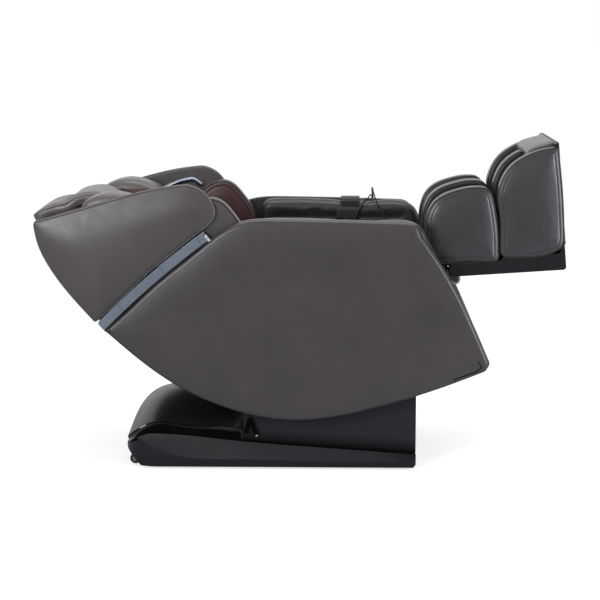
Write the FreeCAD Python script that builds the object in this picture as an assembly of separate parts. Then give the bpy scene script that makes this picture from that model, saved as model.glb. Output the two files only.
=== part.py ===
import FreeCAD, Part
import math
import os

# A reclining massage chair, modelled in the laid-back pose that it is photographed in.
# Millimetres. +X points to the feet, +Z up, and Y = 0 is the chair's middle plane.
# The seat, back, arms and side shells are one capsule that tips on the base.

os.makedirs("parts", exist_ok=True)
V = FreeCAD.Vector
SIDES = (("left", 1), ("right", -1))

# Clearances
GAP = 0.8
SOFT_GAP = 0.4
RUNNING_FIT = 0.05
OPEN_PIVOT = 6.0

# Widths, each measured from the middle plane
SHELL_OUTER = 370.0
SHELL_DEPTH = 40.0
SHELL_WALL = 4.0
ARM_WIDTH = 66.0
POD_WIDTH = 61.0
WING_WIDTH = 145.2
BAR_DEPTH = 16.0
BASE_HALF = 300.0
TOWER_HALF = BASE_HALF - 38.0
LEG_HALF = 235.0
RAIL_WIDTH = 30.0
POST_WIDTH = 30.0
SHELL_INNER = SHELL_OUTER - SHELL_DEPTH
ARM_OUTER = SHELL_INNER - SOFT_GAP
ARM_INNER = ARM_OUTER - ARM_WIDTH
SEAT_HALF = ARM_INNER - 11.2
BACK_HALF = SHELL_INNER - 92.0
RAIL_HALF = SHELL_INNER - 95.0
POST_HALF = RAIL_HALF - RAIL_WIDTH - 10.0
WING_INNER = SHELL_INNER - BAR_DEPTH - 2 * SOFT_GAP - WING_WIDTH
PILLOW_HALF = WING_INNER - 8.0

# Side shells: the seam between the upper and the lower shell, with a metal strip in it
SEAM_REAR = (-633.0, 477.0)
SEAM_FRONT = (-287.0, 776.0)
SEAM_BULGE = 9.0
STRIP_SHADOW = 4.0
STRIP_WIDTH = 26.0
STRIP_DEPTH = 14.0
STRIP_RECESS = 4.0
STRIP_JOINT = 2.0
STRIP_JOINTS = (0.2, 0.6, 0.93)
SHELL_ROUND = 13.0
UPPER_ROUND = 10.0
INNER_ROUND = 6.0
LOWER_TOP = [(-254.0, 800.0), (-189.0, 830.0), (-96.0, 838.0)]
LOWER_CORNER = (360.0, 827.0)
LOWER_FRONT_MID = (475.0, 660.0)
LOWER_TIP = (614.0, 354.0)
LOWER_BELLY = [(421.0, 275.0), (233.0, 219.0), (10.0, 180.0), (-211.0, 211.0), (-440.0, 318.0)]
UPPER_NOSE = [(-268.0, 842.0), (-276.0, 884.0), (-318.0, 933.0), (-372.0, 951.0)]
UPPER_BROW = [(-537.0, 921.0), (-708.0, 869.0)]
UPPER_CROWN = (-852.0, 832.0)
UPPER_REAR = [(-846.0, 767.0), (-810.0, 689.0), (-745.0, 597.0)]
BACK_COVER_INSET = 5.0
BACK_COVER_WALL = 3.5
BACK_COVER_END = (-250.0, 226.0)
FRONT_COVER = [(485.0, 553.0), (592.0, 362.0), (575.0, 345.0), (500.0, 318.0)]
FRONT_COVER_WALL = 4.0

# Seat and back lines: where the person sits and leans
SEAT_ANGLE = 35.3
BACK_ANGLE = 137.0
SEAT_SURFACE = 396.0
BACK_SURFACE = 181.0
SEAT_THICK = 96.5
BACK_THICK = 55.0
SEAT_START = 118.0
SEAT_END = 700.0
BACK_START = 372.0
SEAT_NOSE = 28.0
CROWN = 8.0
SEAT_RIM = 12.0
PAD_ROUND = 22.0
# Share of a pad's width, and the share of its rim that is drawn in there
PAD_SECTIONS = ((0.0, 1.0), (0.1, 0.35), (0.5, 0.0), (0.9, 0.35), (1.0, 1.0))
BACK_TOP = [(-668.0, 871.0), (-700.0, 874.0), (-775.0, 844.0), (-836.0, 831.0), (-858.0, 811.0)]
BACK_TUCK = [(-846.0, 799.0), (-822.0, 810.0), (-775.0, 822.0), (-715.0, 846.0)]
BACK_LAP = 1060.0
BACK_RIM = 6.0
PILLOW_RIM = 8.0
PILLOW_ROUND = 12.0
PILLOW = [
    (-896.0, 813.0), (-872.0, 842.0), (-836.0, 866.0), (-775.0, 878.0), (-700.0, 908.0), (-664.0, 911.0),
    (-518.0, 775.0), (-537.0, 753.0), (-664.0, 872.9), (-700.0, 874.9), (-775.0, 844.9), (-836.0, 831.9),
    (-864.0, 808.0),
]
WING = [(-692.0, 888.0), (-640.0, 918.0), (-594.0, 923.0), (-540.0, 914.0), (-490.0, 891.0), (-476.0, 840.0)]
WING_FOOT = [(880.0, 183.0), (1070.0, 183.0)]
WING_HEEL = [(-666.0, 876.0)]
POD = [(-420.0, 760.0), (-345.0, 881.0), (-299.0, 908.0), (-248.0, 911.0), (-190.0, 859.0), (-149.0, 800.0),
       (-148.0, 770.0), (-170.0, 720.0), (-330.0, 690.0)]
ARM = [(-146.0, 806.0), (-122.0, 840.0), (-60.0, 851.0), (110.0, 846.0), (382.0, 834.0), (404.0, 818.0),
       (436.0, 745.0), (462.0, 690.0), (400.0, 664.0), (100.0, 470.0), (-120.0, 392.0), (-160.0, 560.0),
       (-140.0, 762.0)]
BAR = [(-506.0, 862.0), (-448.0, 888.0), (-392.0, 902.0), (-358.0, 884.0), (-350.0, 896.0), (-378.0, 916.0),
       (-396.0, 921.0), (-454.0, 904.0), (-512.0, 878.0)]
BAR_ROUND = 7.0
POD_RIM = 14.0
ARM_RIM = 12.0

# Steel seat and back frame
RAIL_HIGH = 54.5
RAIL_WALL = 3.0
SEAT_RAIL_TOP = 303.5
BACK_RAIL_TOP = 128.6
RAIL_FRONT = 738.0
RAIL_BACK_END = 1055.0
CROSS_RADIUS = 14.0
CROSS_WALL = 2.5
CROSS_DEEP = 274.0
CROSS_SEAT = (180.0, 700.0)
CROSS_BACK_DEEP = 85.0
CROSS_BACK = (335.0, 1035.0)
# Stub tubes that carry the side shells, along the seat line and up the back line
OUTRIGGER = 12.0
OUTRIGGER_DEEP = 100.0
OUTRIGGERS_SEAT = (180.0, 620.0)
OUTRIGGERS_LOW = (500.0,)
OUTRIGGERS_HIGH = (880.0, 1010.0)

# Tilt pivot, its shaft and the crank that the tilt actuator pulls
PIVOT = (136.0, 424.0)
SHAFT_RADIUS = 12.0
CRANK_LENGTH = 150.0
CRANK_ANGLE = 301.0
CRANK_PIN = 6.0
CRANK_HALF = 24.0
CRANK_PLATE = 8.0
CRANK_WIDE = 15.0
TILT_FOOT = (-430.0, 81.4)
TILT_ANGLE = 18.24
TILT_OPEN = 3.5
TILT_TUBE = 18.0
TILT_ROD = 9.0
TILT_LENGTH = 678.0
TILT_BODY = 560.0
TILT_BORE = 330.0
TILT_ROD_START = 420.0
MOTOR_RADIUS = 16.0
MOTOR_LENGTH = 150.0
EYE_HALF = 12.0
EYE_WALL = 6.0

# Base
BASE_FRONT = 384.0
BASE_REAR = -584.0
BASE_LIFT = 8.0
BASE_WALL = 4.0
SKIRT_HEEL = (-530.0, 8.0)
SKIRT_TAIL = (-578.0, 52.0)
SKIRT_BACK = (-584.0, 66.0)
SHOULDER_START = (-584.0, 60.0)
SKIRT_TOE = 9.0
SKIRT_REAR_ROUND = 110.0
SKIRT_FRONT_ROUND = 14.0
SKIRT_OPEN_REAR = -573.0
SHOULDER_LINE = [(-524.0, 78.0), (-431.0, 53.0), (-199.0, 35.0), (32.0, 29.0), (385.0, 31.0)]
CREASE_LINE = [(-524.0, 110.0), (-451.0, 115.0), (-199.0, 91.0), (32.0, 73.0), (385.0, 48.0)]
CUT_HIGH = 500.0
CREASE_INSET = 20.0
GROOVE_WIDTH = 14.0
DOME_FOOT = 66.0
DOME_STEP = 14.0
DOME_LIP = 8.0
# x, distance in from the base's side, lip height, crown height
DOME_SECTIONS = [
    (-192.0, 28.0, 131.0, 186.0), (-316.0, 28.0, 142.0, 206.0), (-433.0, 30.0, 152.0, 215.0),
    (-500.0, 42.0, 148.0, 199.0), (-548.0, 72.0, 118.0, 162.0), (-575.0, 110.0, 92.0, 116.0),
    (-587.0, 140.0, 76.0, 82.0),
]
TOWER_REAR = -190.0
TOWER_TOE = 50.5
TOWER_TOP = [(-190.0, 182.0), (-110.0, 190.0), (110.0, 334.0), (172.0, 368.0), (384.0, 368.0)]
TOWER_ROUND = 6.0
FRAME_REAR = -510.0
FRAME_FRONT = 360.0
FRAME_TUBE = 40.0
FRAME_HIGH = 28.0
FRAME_HALF = BASE_HALF - 75.0
PAN_THICK = 2.0
POST_LONG = 34.0
POST_CAP = 24.0
FOOT_HEIGHT = 10.0
TOWER_FOOT = FOOT_HEIGHT + FRAME_HIGH + PAN_THICK + SOFT_GAP
FOOT_RADIUS = 24.0
FEET_X = (-464.0, 320.0)
WHEEL_RADIUS = 18.0
WHEEL_WIDTH = 16.0
WHEEL_X = -552.0
WHEEL_Z = 22.0
WHEEL_Y = BASE_HALF - 60.0
WHEEL_ROUND = 4.0
AXLE_RADIUS = 4.0
WELL_ROOM = 4.0
EAR_ROUND = 10.0
BOX_WALL = 3.0
BOX_ROUND = 6.0
NOZZLE_RADIUS = 4.0
NOZZLE_HEIGHT = 14.0
SIDE_BRACKET = (-158.0, 150.0)
BRACKET_OUTLINE = [(-17.0, -19.0), (12.0, -19.0), (16.0, -8.0), (0.0, 11.0), (-14.0, 11.0)]
BRACKET_PIN = (4.0, -10.0)
BRACKET_ROUND = 5.0
CONTROL_BOX = (180.0, 320.0, 60.0, 180.0, 70.0)
AIR_PUMP = (-330.0, -210.0, 60.0, 170.0, 90.0)

# Leg rest, laid out along a line from its hinge: distance along it, height above it
LEG_HINGE = (470.0, 650.0)
LEG_ANGLE = 3.8
HINGE_PIN = 8.0
HINGE_TUBE = 13.0
HINGE_HALF = LEG_HALF - 85.0
LUG_INNER = HINGE_HALF + 1.0
LUG_WIDTH = 12.0
LUG_ROUND = 17.0
PLATE_LOW = 17.5
PLATE_THICK = 9.0
PLATE_START = 8.0
PLATE_WIDE_START = 27.0
PLATE_END = 188.0
PLATE_HALF = LEG_HALF - 20.0
CALF_WALL = 68.0
CALF_MIDDLE = 40.0
CALF_FLOOR = 27.0
CALF_PAD = 44.0
CALF_PAD_START = -38.0
CALF_PAD_END = 186.0
CALF_RIM = 11.0
CALF_ROUND = 24.0
CALF_SIDE = [(-6.0, 27.0), (-48.0, 62.0), (-54.0, 140.0), (-40.0, 202.0), (14.0, 252.0), (94.0, 274.0),
             (158.0, 271.0), (184.0, 225.0), (190.0, 120.0), (188.0, 27.0)]
LEG_PIN = (48.6, -53.3)
LEG_PIN_RADIUS = 7.0
CLEVIS_Y = 14.0
CLEVIS_PLATE = 6.0
CLEVIS_ROUND = 13.0
WEB_SHARES = (0.27, 0.6, 0.93)
LEG_ACT_FOOT = (230.6, 505.8)
LEG_FOOT_PIN = 10.0
LEG_ACT_ANGLE = 17.2
LEG_LENGTH = 306.1
LEG_BODY = 205.0
LEG_TUBE = 18.0
LEG_ROD = 9.0
LEG_BORE = 40.0
LEG_ROD_START = 130.0
SLEEVE = (120.0, 180.0)

# Foot unit, which slides along the leg line
FOOT_WALL = 60.0
FOOT_MIDDLE = 35.0
FOOT_RIM = 11.0
FOOT_ROUND = 22.0
SOLE_INNER = 389.0
FOOT_BEND = SOLE_INNER - 149.0
TOE_BEND = SOLE_INNER - 47.0
FOOT_END = SOLE_INNER - 6.0
ROLLER_U = SOLE_INNER - 25.0
MIDDLE_END = ROLLER_U - 19.0
FOOT_SIDE = [(196.0, 41.5), (196.0, 250.0), (FOOT_BEND, 338.0), (TOE_BEND - 46.0, 372.0), (TOE_BEND, 386.0),
             (FOOT_END - 4.0, 389.0), (FOOT_END, 300.0), (FOOT_END, 62.0), (FOOT_END - 17.0, 41.5)]
FOOT_MIDDLE_SIDE = [(196.0, 41.5), (196.0, 250.0), (FOOT_BEND, 338.0), (MIDDLE_END - 57.0, 360.0),
                    (MIDDLE_END - 51.0, 344.0), (MIDDLE_END, 344.0), (MIDDLE_END, 62.0),
                    (MIDDLE_END - 15.0, 41.5)]
TOE_COVER = [(TOE_BEND - 42.0, 354.0), (TOE_BEND - 42.0, 376.0), (TOE_BEND, 394.0), (FOOT_END, 402.0),
             (FOOT_END, 378.0), (TOE_BEND, 368.0)]
TOE_RIM = 5.0
TOE_ROUND = 9.0
SOLE_PROFILE = [(20.0, -14.0), (SOLE_INNER + 14.0, -14.0), (SOLE_INNER + 5.0, 402.0),
                (SOLE_INNER - 5.5, 402.0), (SOLE_INNER - 1.0, 41.0), (195.0, 41.0), (191.0, 24.0), (20.0, 24.0)]
SOLE_CAVITY = [(0.0, -10.0), (SOLE_INNER - 5.0, -10.0), (SOLE_INNER - 5.0, 37.0), (197.0, 37.0), (195.0, 60.0),
               (0.0, 60.0)]
SOLE_HALF = LEG_HALF - 3.0
SOLE_ROUND = 10.0
SOLE_WALL = 4.0
CLEVIS_SLOT = 90.0
CLEVIS_GAP = 26.0
ROD_RADIUS = 8.0
ROD_Y = LEG_HALF - 115.0
ROD_W = 4.0
ROD_START = 24.0
ROD_END = SOLE_INNER - 5.4
ROLLER_W = (95.0, 190.0)
FOOT_ROLLER = 17.0
FOOT_SHAFT = 5.0
FOOT_DISCS = 4
FOOT_DISC_WIDTH = 16.0
FOOT_DISC_ROUND = 5.0
BEARING_Y = LEG_HALF - FOOT_WALL - 11.0
BEARING = 9.6

# Massage carriage behind the back pad: distance up the back line, height over it
TRACK_Y = 120.0
TRACK_SIZE = 30.0
TRACK_WALL = 3.0
TRACK_LOW = 20.0
TRACK_START = 322.0
TRACK_END = BACK_LAP - 10.0
CARRIAGE = (560.0, 720.0)
CARRIAGE_HALF = 112.0
CARRIAGE_PLATE = 6.0
CHEEK = 8.0
CARRIAGE_MOTOR = 18.0
CARRIAGE_MOTOR_ENDS = (600.0, 708.0)
GEAR_LONG = 25.0
GEAR_HIGH = 18.0
GEAR_HALF = 30.0
GUIDE_WHEEL = 11.3
GUIDE_AXLE = 5.0
GUIDE_START = 4.0
GUIDE_WIDTH = 20.0
KNEAD = (640.0, 82.0)
KNEAD_RADIUS = 8.0
LOBE_START = 45.0
LOBE_OFFSET = 6.0
LOBE_RADIUS = 20.0
ROLLER_RADIUS = 27.0
ROLLER_SPREAD = 62.0
ROLLER_DEEP = 86.0
YOKE_Y = 62.0
YOKE_PLATE = 9.0
YOKE_WIDE = 13.0
TIE_OFFSET = 36.0
ROLLER_WIDTH = 26.0
ROLLER_PIN = 5.0
ROLLER_ROUND = 9.0

# Remote, its pouch and its cord, on the left arm
REMOTE = (141.0, 193.0, 648.0, 770.0)
REMOTE_ROUND = 8.0
REMOTE_THICK = 19.0
REMOTE_OFF = 6.6
REMOTE_Y = (ARM_INNER - REMOTE_OFF - REMOTE_THICK, ARM_INNER - REMOTE_OFF)
POUCH_WALL = 2.5
POUCH_TOP = 712.0
POUCH_X = (134.0, 200.0)
# Distance outwards from the arm's inner face, and height
FLAP = [(-0.8, 832.0), (3.4, 841.0), (17.4, 845.8), (32.4, 846.6), (60.4, 842.6)]
BUTTON_RADIUS = 5.0
BUTTON_HEIGHT = 2.5
BUTTON_TRAVEL = 1.2
BUTTONS = (("power_button", 156.0, 754.0), ("auto_button", 178.0, 754.0), ("tilt_button", 167.0, 736.0))
GLAND = (300.0, 745.0)
GLAND_SIZE = 14.0
GLAND_LONG = 30.0
GLAND_TIP = 8.0
CORD_RADIUS = 2.5
CORD_Y = ARM_INNER - 7.6
CORD_STEPS = 400
# Along X, out from the shell's outer face, and up
CORD_ROUTE = [
    (185, -122, 770.2), (186, -121, 786), (200, -116, 808), (220, -113, 832), (232, -102, 846),
    (238, -74, 850), (242, -42, 850), (246, -8, 844), (247, 10, 822), (240, 14, 778),
    (224, 15, 730), (208, 15, 686), (212, 15, 645), (240, 15, 622), (270, 15, 640),
    (280, 15, 685), (272, 15, 735), (258, 14, 785), (250, 12, 832), (246, -4, 864),
    (245, -34, 876), (247, -70, 874), (250, -98, 860), (258, -112, 836), (272, -114, 808),
    (288, -114, 784), (298, -114, 764), (300, -114, 745.2),
]

# Mains inlet on the back cover
MAINS = (-560.0, 412.0)
MAINS_ANGLE = -39.0
MAINS_LONG = 84.0
MAINS_HALF = 26.0
MAINS_PLATE = 3.0
MAINS_DEEP = 22.0
INLET = (-33.0, -3.0)
INLET_HALF = 10.0
INLET_DEEP = 16.0
INLET_PINS = ((-18.0, 4.0), (-23.0, -3.0), (-13.0, -3.0))
INLET_PIN = 1.5
ROCKER = (7.0, 33.0)
ROCKER_HALF = 9.0
ROCKER_WELL = 12.0
ROCKER_HIGH = 5.0
ROCKER_PIN = 1.5


def slope(origin, degrees):
    """A function that turns a distance along a sloping line, and a height above it, into x and z."""
    a = math.radians(degrees)

    def place(along, above):
        return (
            origin[0] + along * math.cos(a) - above * math.sin(a),
            origin[1] + along * math.sin(a) + above * math.cos(a),
        )

    return place


seat = slope((0.0, 0.0), SEAT_ANGLE)
leg = slope(LEG_HINGE, LEG_ANGLE)
tilt = slope(TILT_FOOT, TILT_ANGLE)
push = slope(LEG_ACT_FOOT, LEG_ACT_ANGLE)
mains = slope(MAINS, MAINS_ANGLE)
CRANK_END = slope(PIVOT, CRANK_ANGLE)(CRANK_LENGTH, 0)


def back(along, above):
    """As slope does for the back line, whose front side is to the right of its upward direction."""
    return slope((0.0, 0.0), BACK_ANGLE)(along, -above)


def meet(n, c):
    """The point at height n over the seat line and height c over the back line."""
    s = math.radians(SEAT_ANGLE)
    b = math.radians(BACK_ANGLE)
    whole = math.sin(s) * math.cos(b) - math.sin(b) * math.cos(s)
    x = (-n * math.cos(b) - c * math.cos(s)) / whole
    z = (-c * math.sin(s) - n * math.sin(b)) / whole
    return (x, z)


def on(place, points):
    """Points that are given along and above a sloping line, as x and z."""
    return [place(a, b) for a, b in points]


def at(point, y=0.0):
    return V(point[0], y, point[1])


def outline(start, *steps):
    """A closed wire in the plane Y = 0. A step is a point, a (middle, end) pair or a list of points."""
    edges = []
    here = start
    for step in list(steps) + [start]:
        if isinstance(step, list):
            curve = Part.BSplineCurve()
            curve.interpolate([at(here)] + [at(p) for p in step])
            edges.append(curve.toShape())
            here = step[-1]
        elif isinstance(step[0], tuple):
            edges.append(Part.Arc(at(here), at(step[0]), at(step[1])).toShape())
            here = step[1]
        elif math.dist(here, step) > 1e-6:
            edges.append(Part.LineSegment(at(here), at(step)).toShape())
            here = step
    return Part.Wire(edges)


def rounded(points, radius):
    """A closed wire through a polygon whose corners are rounded by arcs."""
    steps = []
    for i, corner in enumerate(points):
        before = points[i - 1]
        after = points[(i + 1) % len(points)]
        one = V(before[0] - corner[0], before[1] - corner[1], 0)
        two = V(after[0] - corner[0], after[1] - corner[1], 0)
        room = 0.45 * min(one.Length, two.Length)
        half = one.getAngle(two) / 2
        back_off = min(radius / math.tan(half), room)
        arc_radius = back_off * math.tan(half)
        one.normalize()
        two.normalize()
        middle = (one + two).normalize()
        inner = arc_radius / math.sin(half) - arc_radius
        start = (corner[0] + one.x * back_off, corner[1] + one.y * back_off)
        end = (corner[0] + two.x * back_off, corner[1] + two.y * back_off)
        steps.append((start, (corner[0] + middle.x * inner, corner[1] + middle.y * inner), end))
    edges = []
    for i, (start, mid, end) in enumerate(steps):
        edges.append(Part.Arc(at(start), at(mid), at(end)).toShape())
        after = steps[(i + 1) % len(steps)][0]
        edges.append(Part.LineSegment(at(end), at(after)).toShape())
    return Part.Wire(edges)


def pushed(before, corner, after, distance):
    """A corner moved to the left of its line, so that both sides of it move by the distance."""
    one = V(corner[0] - before[0], corner[1] - before[1], 0).normalize()
    two = V(after[0] - corner[0], after[1] - corner[1], 0).normalize()
    scale = distance / (1 + one.dot(two))
    return (corner[0] - (one.y + two.y) * scale, corner[1] + (one.x + two.x) * scale)


def inset(points, distance):
    """The polygon with each side moved inwards by a distance."""
    area = sum(p[0] * q[1] - q[0] * p[1] for p, q in zip(points, points[1:] + points[:1]))
    left = distance if area > 0 else -distance
    return [pushed(points[i - 1], p, points[(i + 1) % len(points)], left) for i, p in enumerate(points)]


def beside(points, distance):
    """A line of points moved to its left."""
    ahead = (2 * points[0][0] - points[1][0], 2 * points[0][1] - points[1][1])
    beyond = (2 * points[-1][0] - points[-2][0], 2 * points[-1][1] - points[-2][1])
    line = [ahead] + points + [beyond]
    return [pushed(line[i], p, line[i + 2], distance) for i, p in enumerate(points)]


def slab(wire, y0, y1):
    """A wire from the plane Y = 0, filled and drawn out from y0 to y1."""
    face = Part.Face(wire)
    face.translate(V(0, y0, 0))
    return face.extrude(V(0, y1 - y0, 0))


def block(points, y0, y1, radius=0.0):
    if radius:
        return slab(rounded(points, radius), y0, y1)
    return slab(outline(points[0], *points[1:]), y0, y1)


def skin(points, wall, y0, y1):
    """A curved sheet of even thickness through a line of points."""
    inner = beside(points, wall)
    inner.reverse()
    return slab(outline(points[0], points[1:], inner[0], inner[1:]), y0, y1)


def padded(points, y0, y1, rim, radius):
    """A cushion: the outline swells from each side face to its full size in the middle."""
    sections = []
    for share, draw_in in PAD_SECTIONS:
        wire = rounded(inset(points, rim * draw_in), radius)
        wire.translate(V(0, y0 + share * (y1 - y0), 0))
        sections.append(wire)
    return Part.makeLoft(sections, True, False)


def across(point, y0, y1, radius):
    """A round bar along Y."""
    return Part.makeCylinder(radius, y1 - y0, at(point, y0), V(0, 1, 0))


def along(start, end, y, radius):
    """A round bar between two points at one Y."""
    run = at(end, y) - at(start, y)
    return Part.makeCylinder(radius, run.Length, at(start, y), run)


def link(start, end, y0, y1, radius):
    """A flat bar with round ends."""
    place = slope(start, math.degrees(math.atan2(end[1] - start[1], end[0] - start[0])))
    length = math.dist(start, end)
    wire = outline(
        place(0, -radius), place(length, -radius), (place(length + radius, 0), place(length, radius)),
        place(0, radius), (place(-radius, 0), place(0, -radius)),
    )
    return slab(wire, y0, y1)


def box(x0, x1, y0, y1, z0, z1):
    return Part.makeBox(x1 - x0, y1 - y0, z1 - z0, V(x0, y0, z0))


def across_x(points, x0, x1):
    """A polygon of y and z, drawn out from x0 to x1."""
    corners = [V(x0, y, z) for y, z in points]
    return Part.Face(Part.makePolygon(corners + corners[:1])).extrude(V(x1 - x0, 0, 0))


def channel(x0, x1, y0, y1, z0, z1, wall):
    """A steel channel with its open side down."""
    outer = box(x0, x1, y0, y1, z0, z1)
    return outer.cut(box(x0 + wall, x1 - wall, y0 + wall, y1 - wall, z0 - 1, z1 - wall))


def rail(points, y0, y1, wall):
    """A channel of any outline, with a web at y0 and its open side towards y1."""
    return block(points, y0, y1).cut(block(inset(points, wall), y0 + wall, y1 + 1))


def fused(*shapes):
    whole = shapes[0].multiFuse(list(shapes[1:]))
    return whole.removeSplitter()


def sided(shape, sign):
    """The shape itself on the left side, or its mirror image on the right."""
    return shape if sign > 0 else shape.mirror(V(0, 0, 0), V(0, 1, 0))


def both(shape):
    return Part.makeCompound([shape, sided(shape, -1)])


def pair(shape):
    """A shape and its mirror image as a list, to be fused."""
    return [shape, sided(shape, -1)]


def save(name, shape):
    Part.makeCompound(shape.Solids).exportStep("parts/" + name + ".step")


def save_sides(name, shape):
    for side, sign in SIDES:
        save(name + "_" + side, sided(shape, sign))


# Side shells, the strip between them, and the covers behind and in front

def seam(offset):
    """The seam arc's start, middle and end, moved up and back by an offset."""
    run = V(SEAM_FRONT[0] - SEAM_REAR[0], SEAM_FRONT[1] - SEAM_REAR[1], 0)
    run.normalize()
    middle = ((SEAM_REAR[0] + SEAM_FRONT[0]) / 2, (SEAM_REAR[1] + SEAM_FRONT[1]) / 2)
    shifts = ((SEAM_REAR, offset), (middle, offset + SEAM_BULGE), (SEAM_FRONT, offset))
    return [(p[0] - run.y * d, p[1] + run.x * d) for p, d in shifts]


def edges_at(solid, y):
    return [e for e in solid.Edges if all(abs(v.Y - y) < 0.01 for v in e.Vertexes)]


def lower_wire(shrink):
    """The lower shell's outline, or a smaller one inside it."""
    points = seam(0) + LOWER_TOP + [LOWER_CORNER, LOWER_FRONT_MID, LOWER_TIP] + LOWER_BELLY
    p = inset(points, shrink)
    return outline(p[0], (p[1], p[2]), p[3:6], p[6], (p[7], p[8]), p[9:] + [p[0]])


def lower_shell():
    """A moulded tray with a round outer edge, open on its inner side."""
    solid = slab(lower_wire(0.0), SHELL_INNER, SHELL_OUTER)
    solid = solid.makeFillet(SHELL_ROUND, edges_at(solid, SHELL_OUTER))
    return solid.cut(slab(lower_wire(SHELL_WALL), SHELL_INNER - 1, SHELL_OUTER - SHELL_WALL))


def upper_shell():
    """A padded board with both of its edges rounded."""
    rear, middle, front = seam(2 * STRIP_SHADOW + STRIP_WIDTH)
    wire = outline(rear, (middle, front), UPPER_NOSE, UPPER_BROW + [UPPER_CROWN], UPPER_REAR + [rear])
    solid = slab(wire, SHELL_INNER, SHELL_OUTER)
    solid = solid.makeFillet(UPPER_ROUND, edges_at(solid, SHELL_OUTER))
    return solid.makeFillet(INNER_ROUND, edges_at(solid, SHELL_INNER))


def trim_strip():
    """Lengths of flat metal in the seam, with a cap at the front end, on a backing."""
    low = seam(STRIP_SHADOW)
    high = seam(STRIP_SHADOW + STRIP_WIDTH)
    wire = outline(low[0], (low[1], low[2]), high[2], (high[1], high[0]))
    y1 = SHELL_OUTER - STRIP_RECESS
    strip = slab(wire, y1 - STRIP_DEPTH, y1)
    run = (low[2][0] - low[0][0], low[2][1] - low[0][1])
    cutters = []
    for share in STRIP_JOINTS:
        origin = (low[0][0] + share * run[0], low[0][1] + share * run[1])
        place = slope(origin, math.degrees(math.atan2(run[1], run[0])))
        reach = 2 * STRIP_WIDTH
        corners = on(place, [(0, -reach), (STRIP_JOINT, -reach), (STRIP_JOINT, reach), (0, reach)])
        cutters.append(block(corners, y1 - STRIP_RECESS, y1 + 1))
    strip = strip.cut(Part.makeCompound(cutters))
    low = seam(SOFT_GAP)
    high = seam(2 * STRIP_SHADOW + STRIP_WIDTH - SOFT_GAP)
    backing = outline(low[0], (low[1], low[2]), high[2], (high[1], high[0]))
    return fused(strip, slab(backing, SHELL_INNER, y1 - STRIP_DEPTH))


def back_cover():
    """A curved cover between the rear edges of the side shells, with a hole for the mains panel."""
    edge = UPPER_REAR + [SEAM_REAR, LOWER_BELLY[-1], BACK_COVER_END]
    outer = [(x + BACK_COVER_INSET, z + BACK_COVER_INSET) for x, z in edge]
    half = SHELL_INNER - SOFT_GAP
    cover = skin(outer, BACK_COVER_WALL, -half, half)
    long = MAINS_LONG / 2 - MAINS_PLATE
    wide = MAINS_HALF - MAINS_PLATE
    hole = on(mains, [(-long, -MAINS_DEEP), (long, -MAINS_DEEP), (long, MAINS_DEEP), (-long, MAINS_DEEP)])
    return cover.cut(block(hole, -wide, wide))


def front_cover():
    """A sheet bent over the front of the seat frame, below the leg rest."""
    half = SHELL_OUTER - SHELL_WALL - SOFT_GAP
    inner = beside(FRONT_COVER, -FRONT_COVER_WALL)
    inner.reverse()
    return block(FRONT_COVER + inner, -half, half, FRONT_COVER_WALL / 3)


def mains_panel():
    """A plate with an inlet and a rocker's seat, on a box that goes through the back cover."""
    long = MAINS_LONG / 2
    plate = on(mains, [(-long, -MAINS_PLATE), (long, -MAINS_PLATE), (long, 0), (-long, 0)])
    inner = long - MAINS_PLATE - GAP
    case = on(mains, [(-inner, 0), (inner, 0), (inner, MAINS_DEEP), (-inner, MAINS_DEEP)])
    half = MAINS_HALF - MAINS_PLATE - GAP
    panel = fused(block(plate, -MAINS_HALF, MAINS_HALF), block(case, -half, half))
    for (a, b), deep, wide in ((INLET, INLET_DEEP, INLET_HALF), (ROCKER, ROCKER_WELL, ROCKER_HALF)):
        front = -MAINS_PLATE - 1
        well = on(mains, [(a, front), (b, front), (b, deep), (a, deep)])
        panel = panel.cut(block(well, -wide, wide))
    pins = []
    for a, y in INLET_PINS:
        pins.append(along(mains(a, INLET_DEEP), mains(a, 2), y, INLET_PIN))
    reach = ROCKER_HALF + ROCKER_PIN
    axle_hole = across(rocker_axis(), -reach, reach, ROCKER_PIN + RUNNING_FIT)
    return fused(panel, *pins).cut(axle_hole)


def rocker_axis():
    return mains((ROCKER[0] + ROCKER[1]) / 2, 0)


def power_switch():
    """A rocker with two sloping faces, on a pin."""
    half = (ROCKER[1] - ROCKER[0]) / 2 - GAP
    foot = half - 2 * ROCKER_PIN
    place = slope(rocker_axis(), MAINS_ANGLE)
    high = ROCKER_HIGH
    sides = on(place, [(-half, -high), (0, 1 - high), (half, -high), (foot, high), (-foot, high)])
    wide = ROCKER_HALF - GAP / 2
    reach = ROCKER_HALF + ROCKER_PIN - 1
    pin = across(rocker_axis(), -reach, reach, ROCKER_PIN)
    return fused(block(sides, -wide, wide), pin)


# Base

def dome_section(x, move_in, lip, crown, grow):
    """One cross-section of the rear dome: straight sides, an overhanging lip and an arched top."""
    foot = DOME_FOOT - (1.0 if grow else 0.0)
    edge = BASE_HALF - move_in + grow
    side = edge - DOME_STEP
    low = max(lip - DOME_LIP, foot + 1)
    p = [V(x, -side, foot), V(x, -side, low), V(x, -edge, lip + grow)]
    q = [V(x, edge, lip + grow), V(x, side, low), V(x, side, foot)]
    return Part.Wire([
        Part.LineSegment(p[0], p[1]).toShape(),
        Part.LineSegment(p[1], p[2]).toShape(),
        Part.Arc(p[2], V(x, 0, crown + grow), q[0]).toShape(),
        Part.LineSegment(q[0], q[1]).toShape(),
        Part.LineSegment(q[1], q[2]).toShape(),
        Part.LineSegment(q[2], p[0]).toShape(),
    ])


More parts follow.
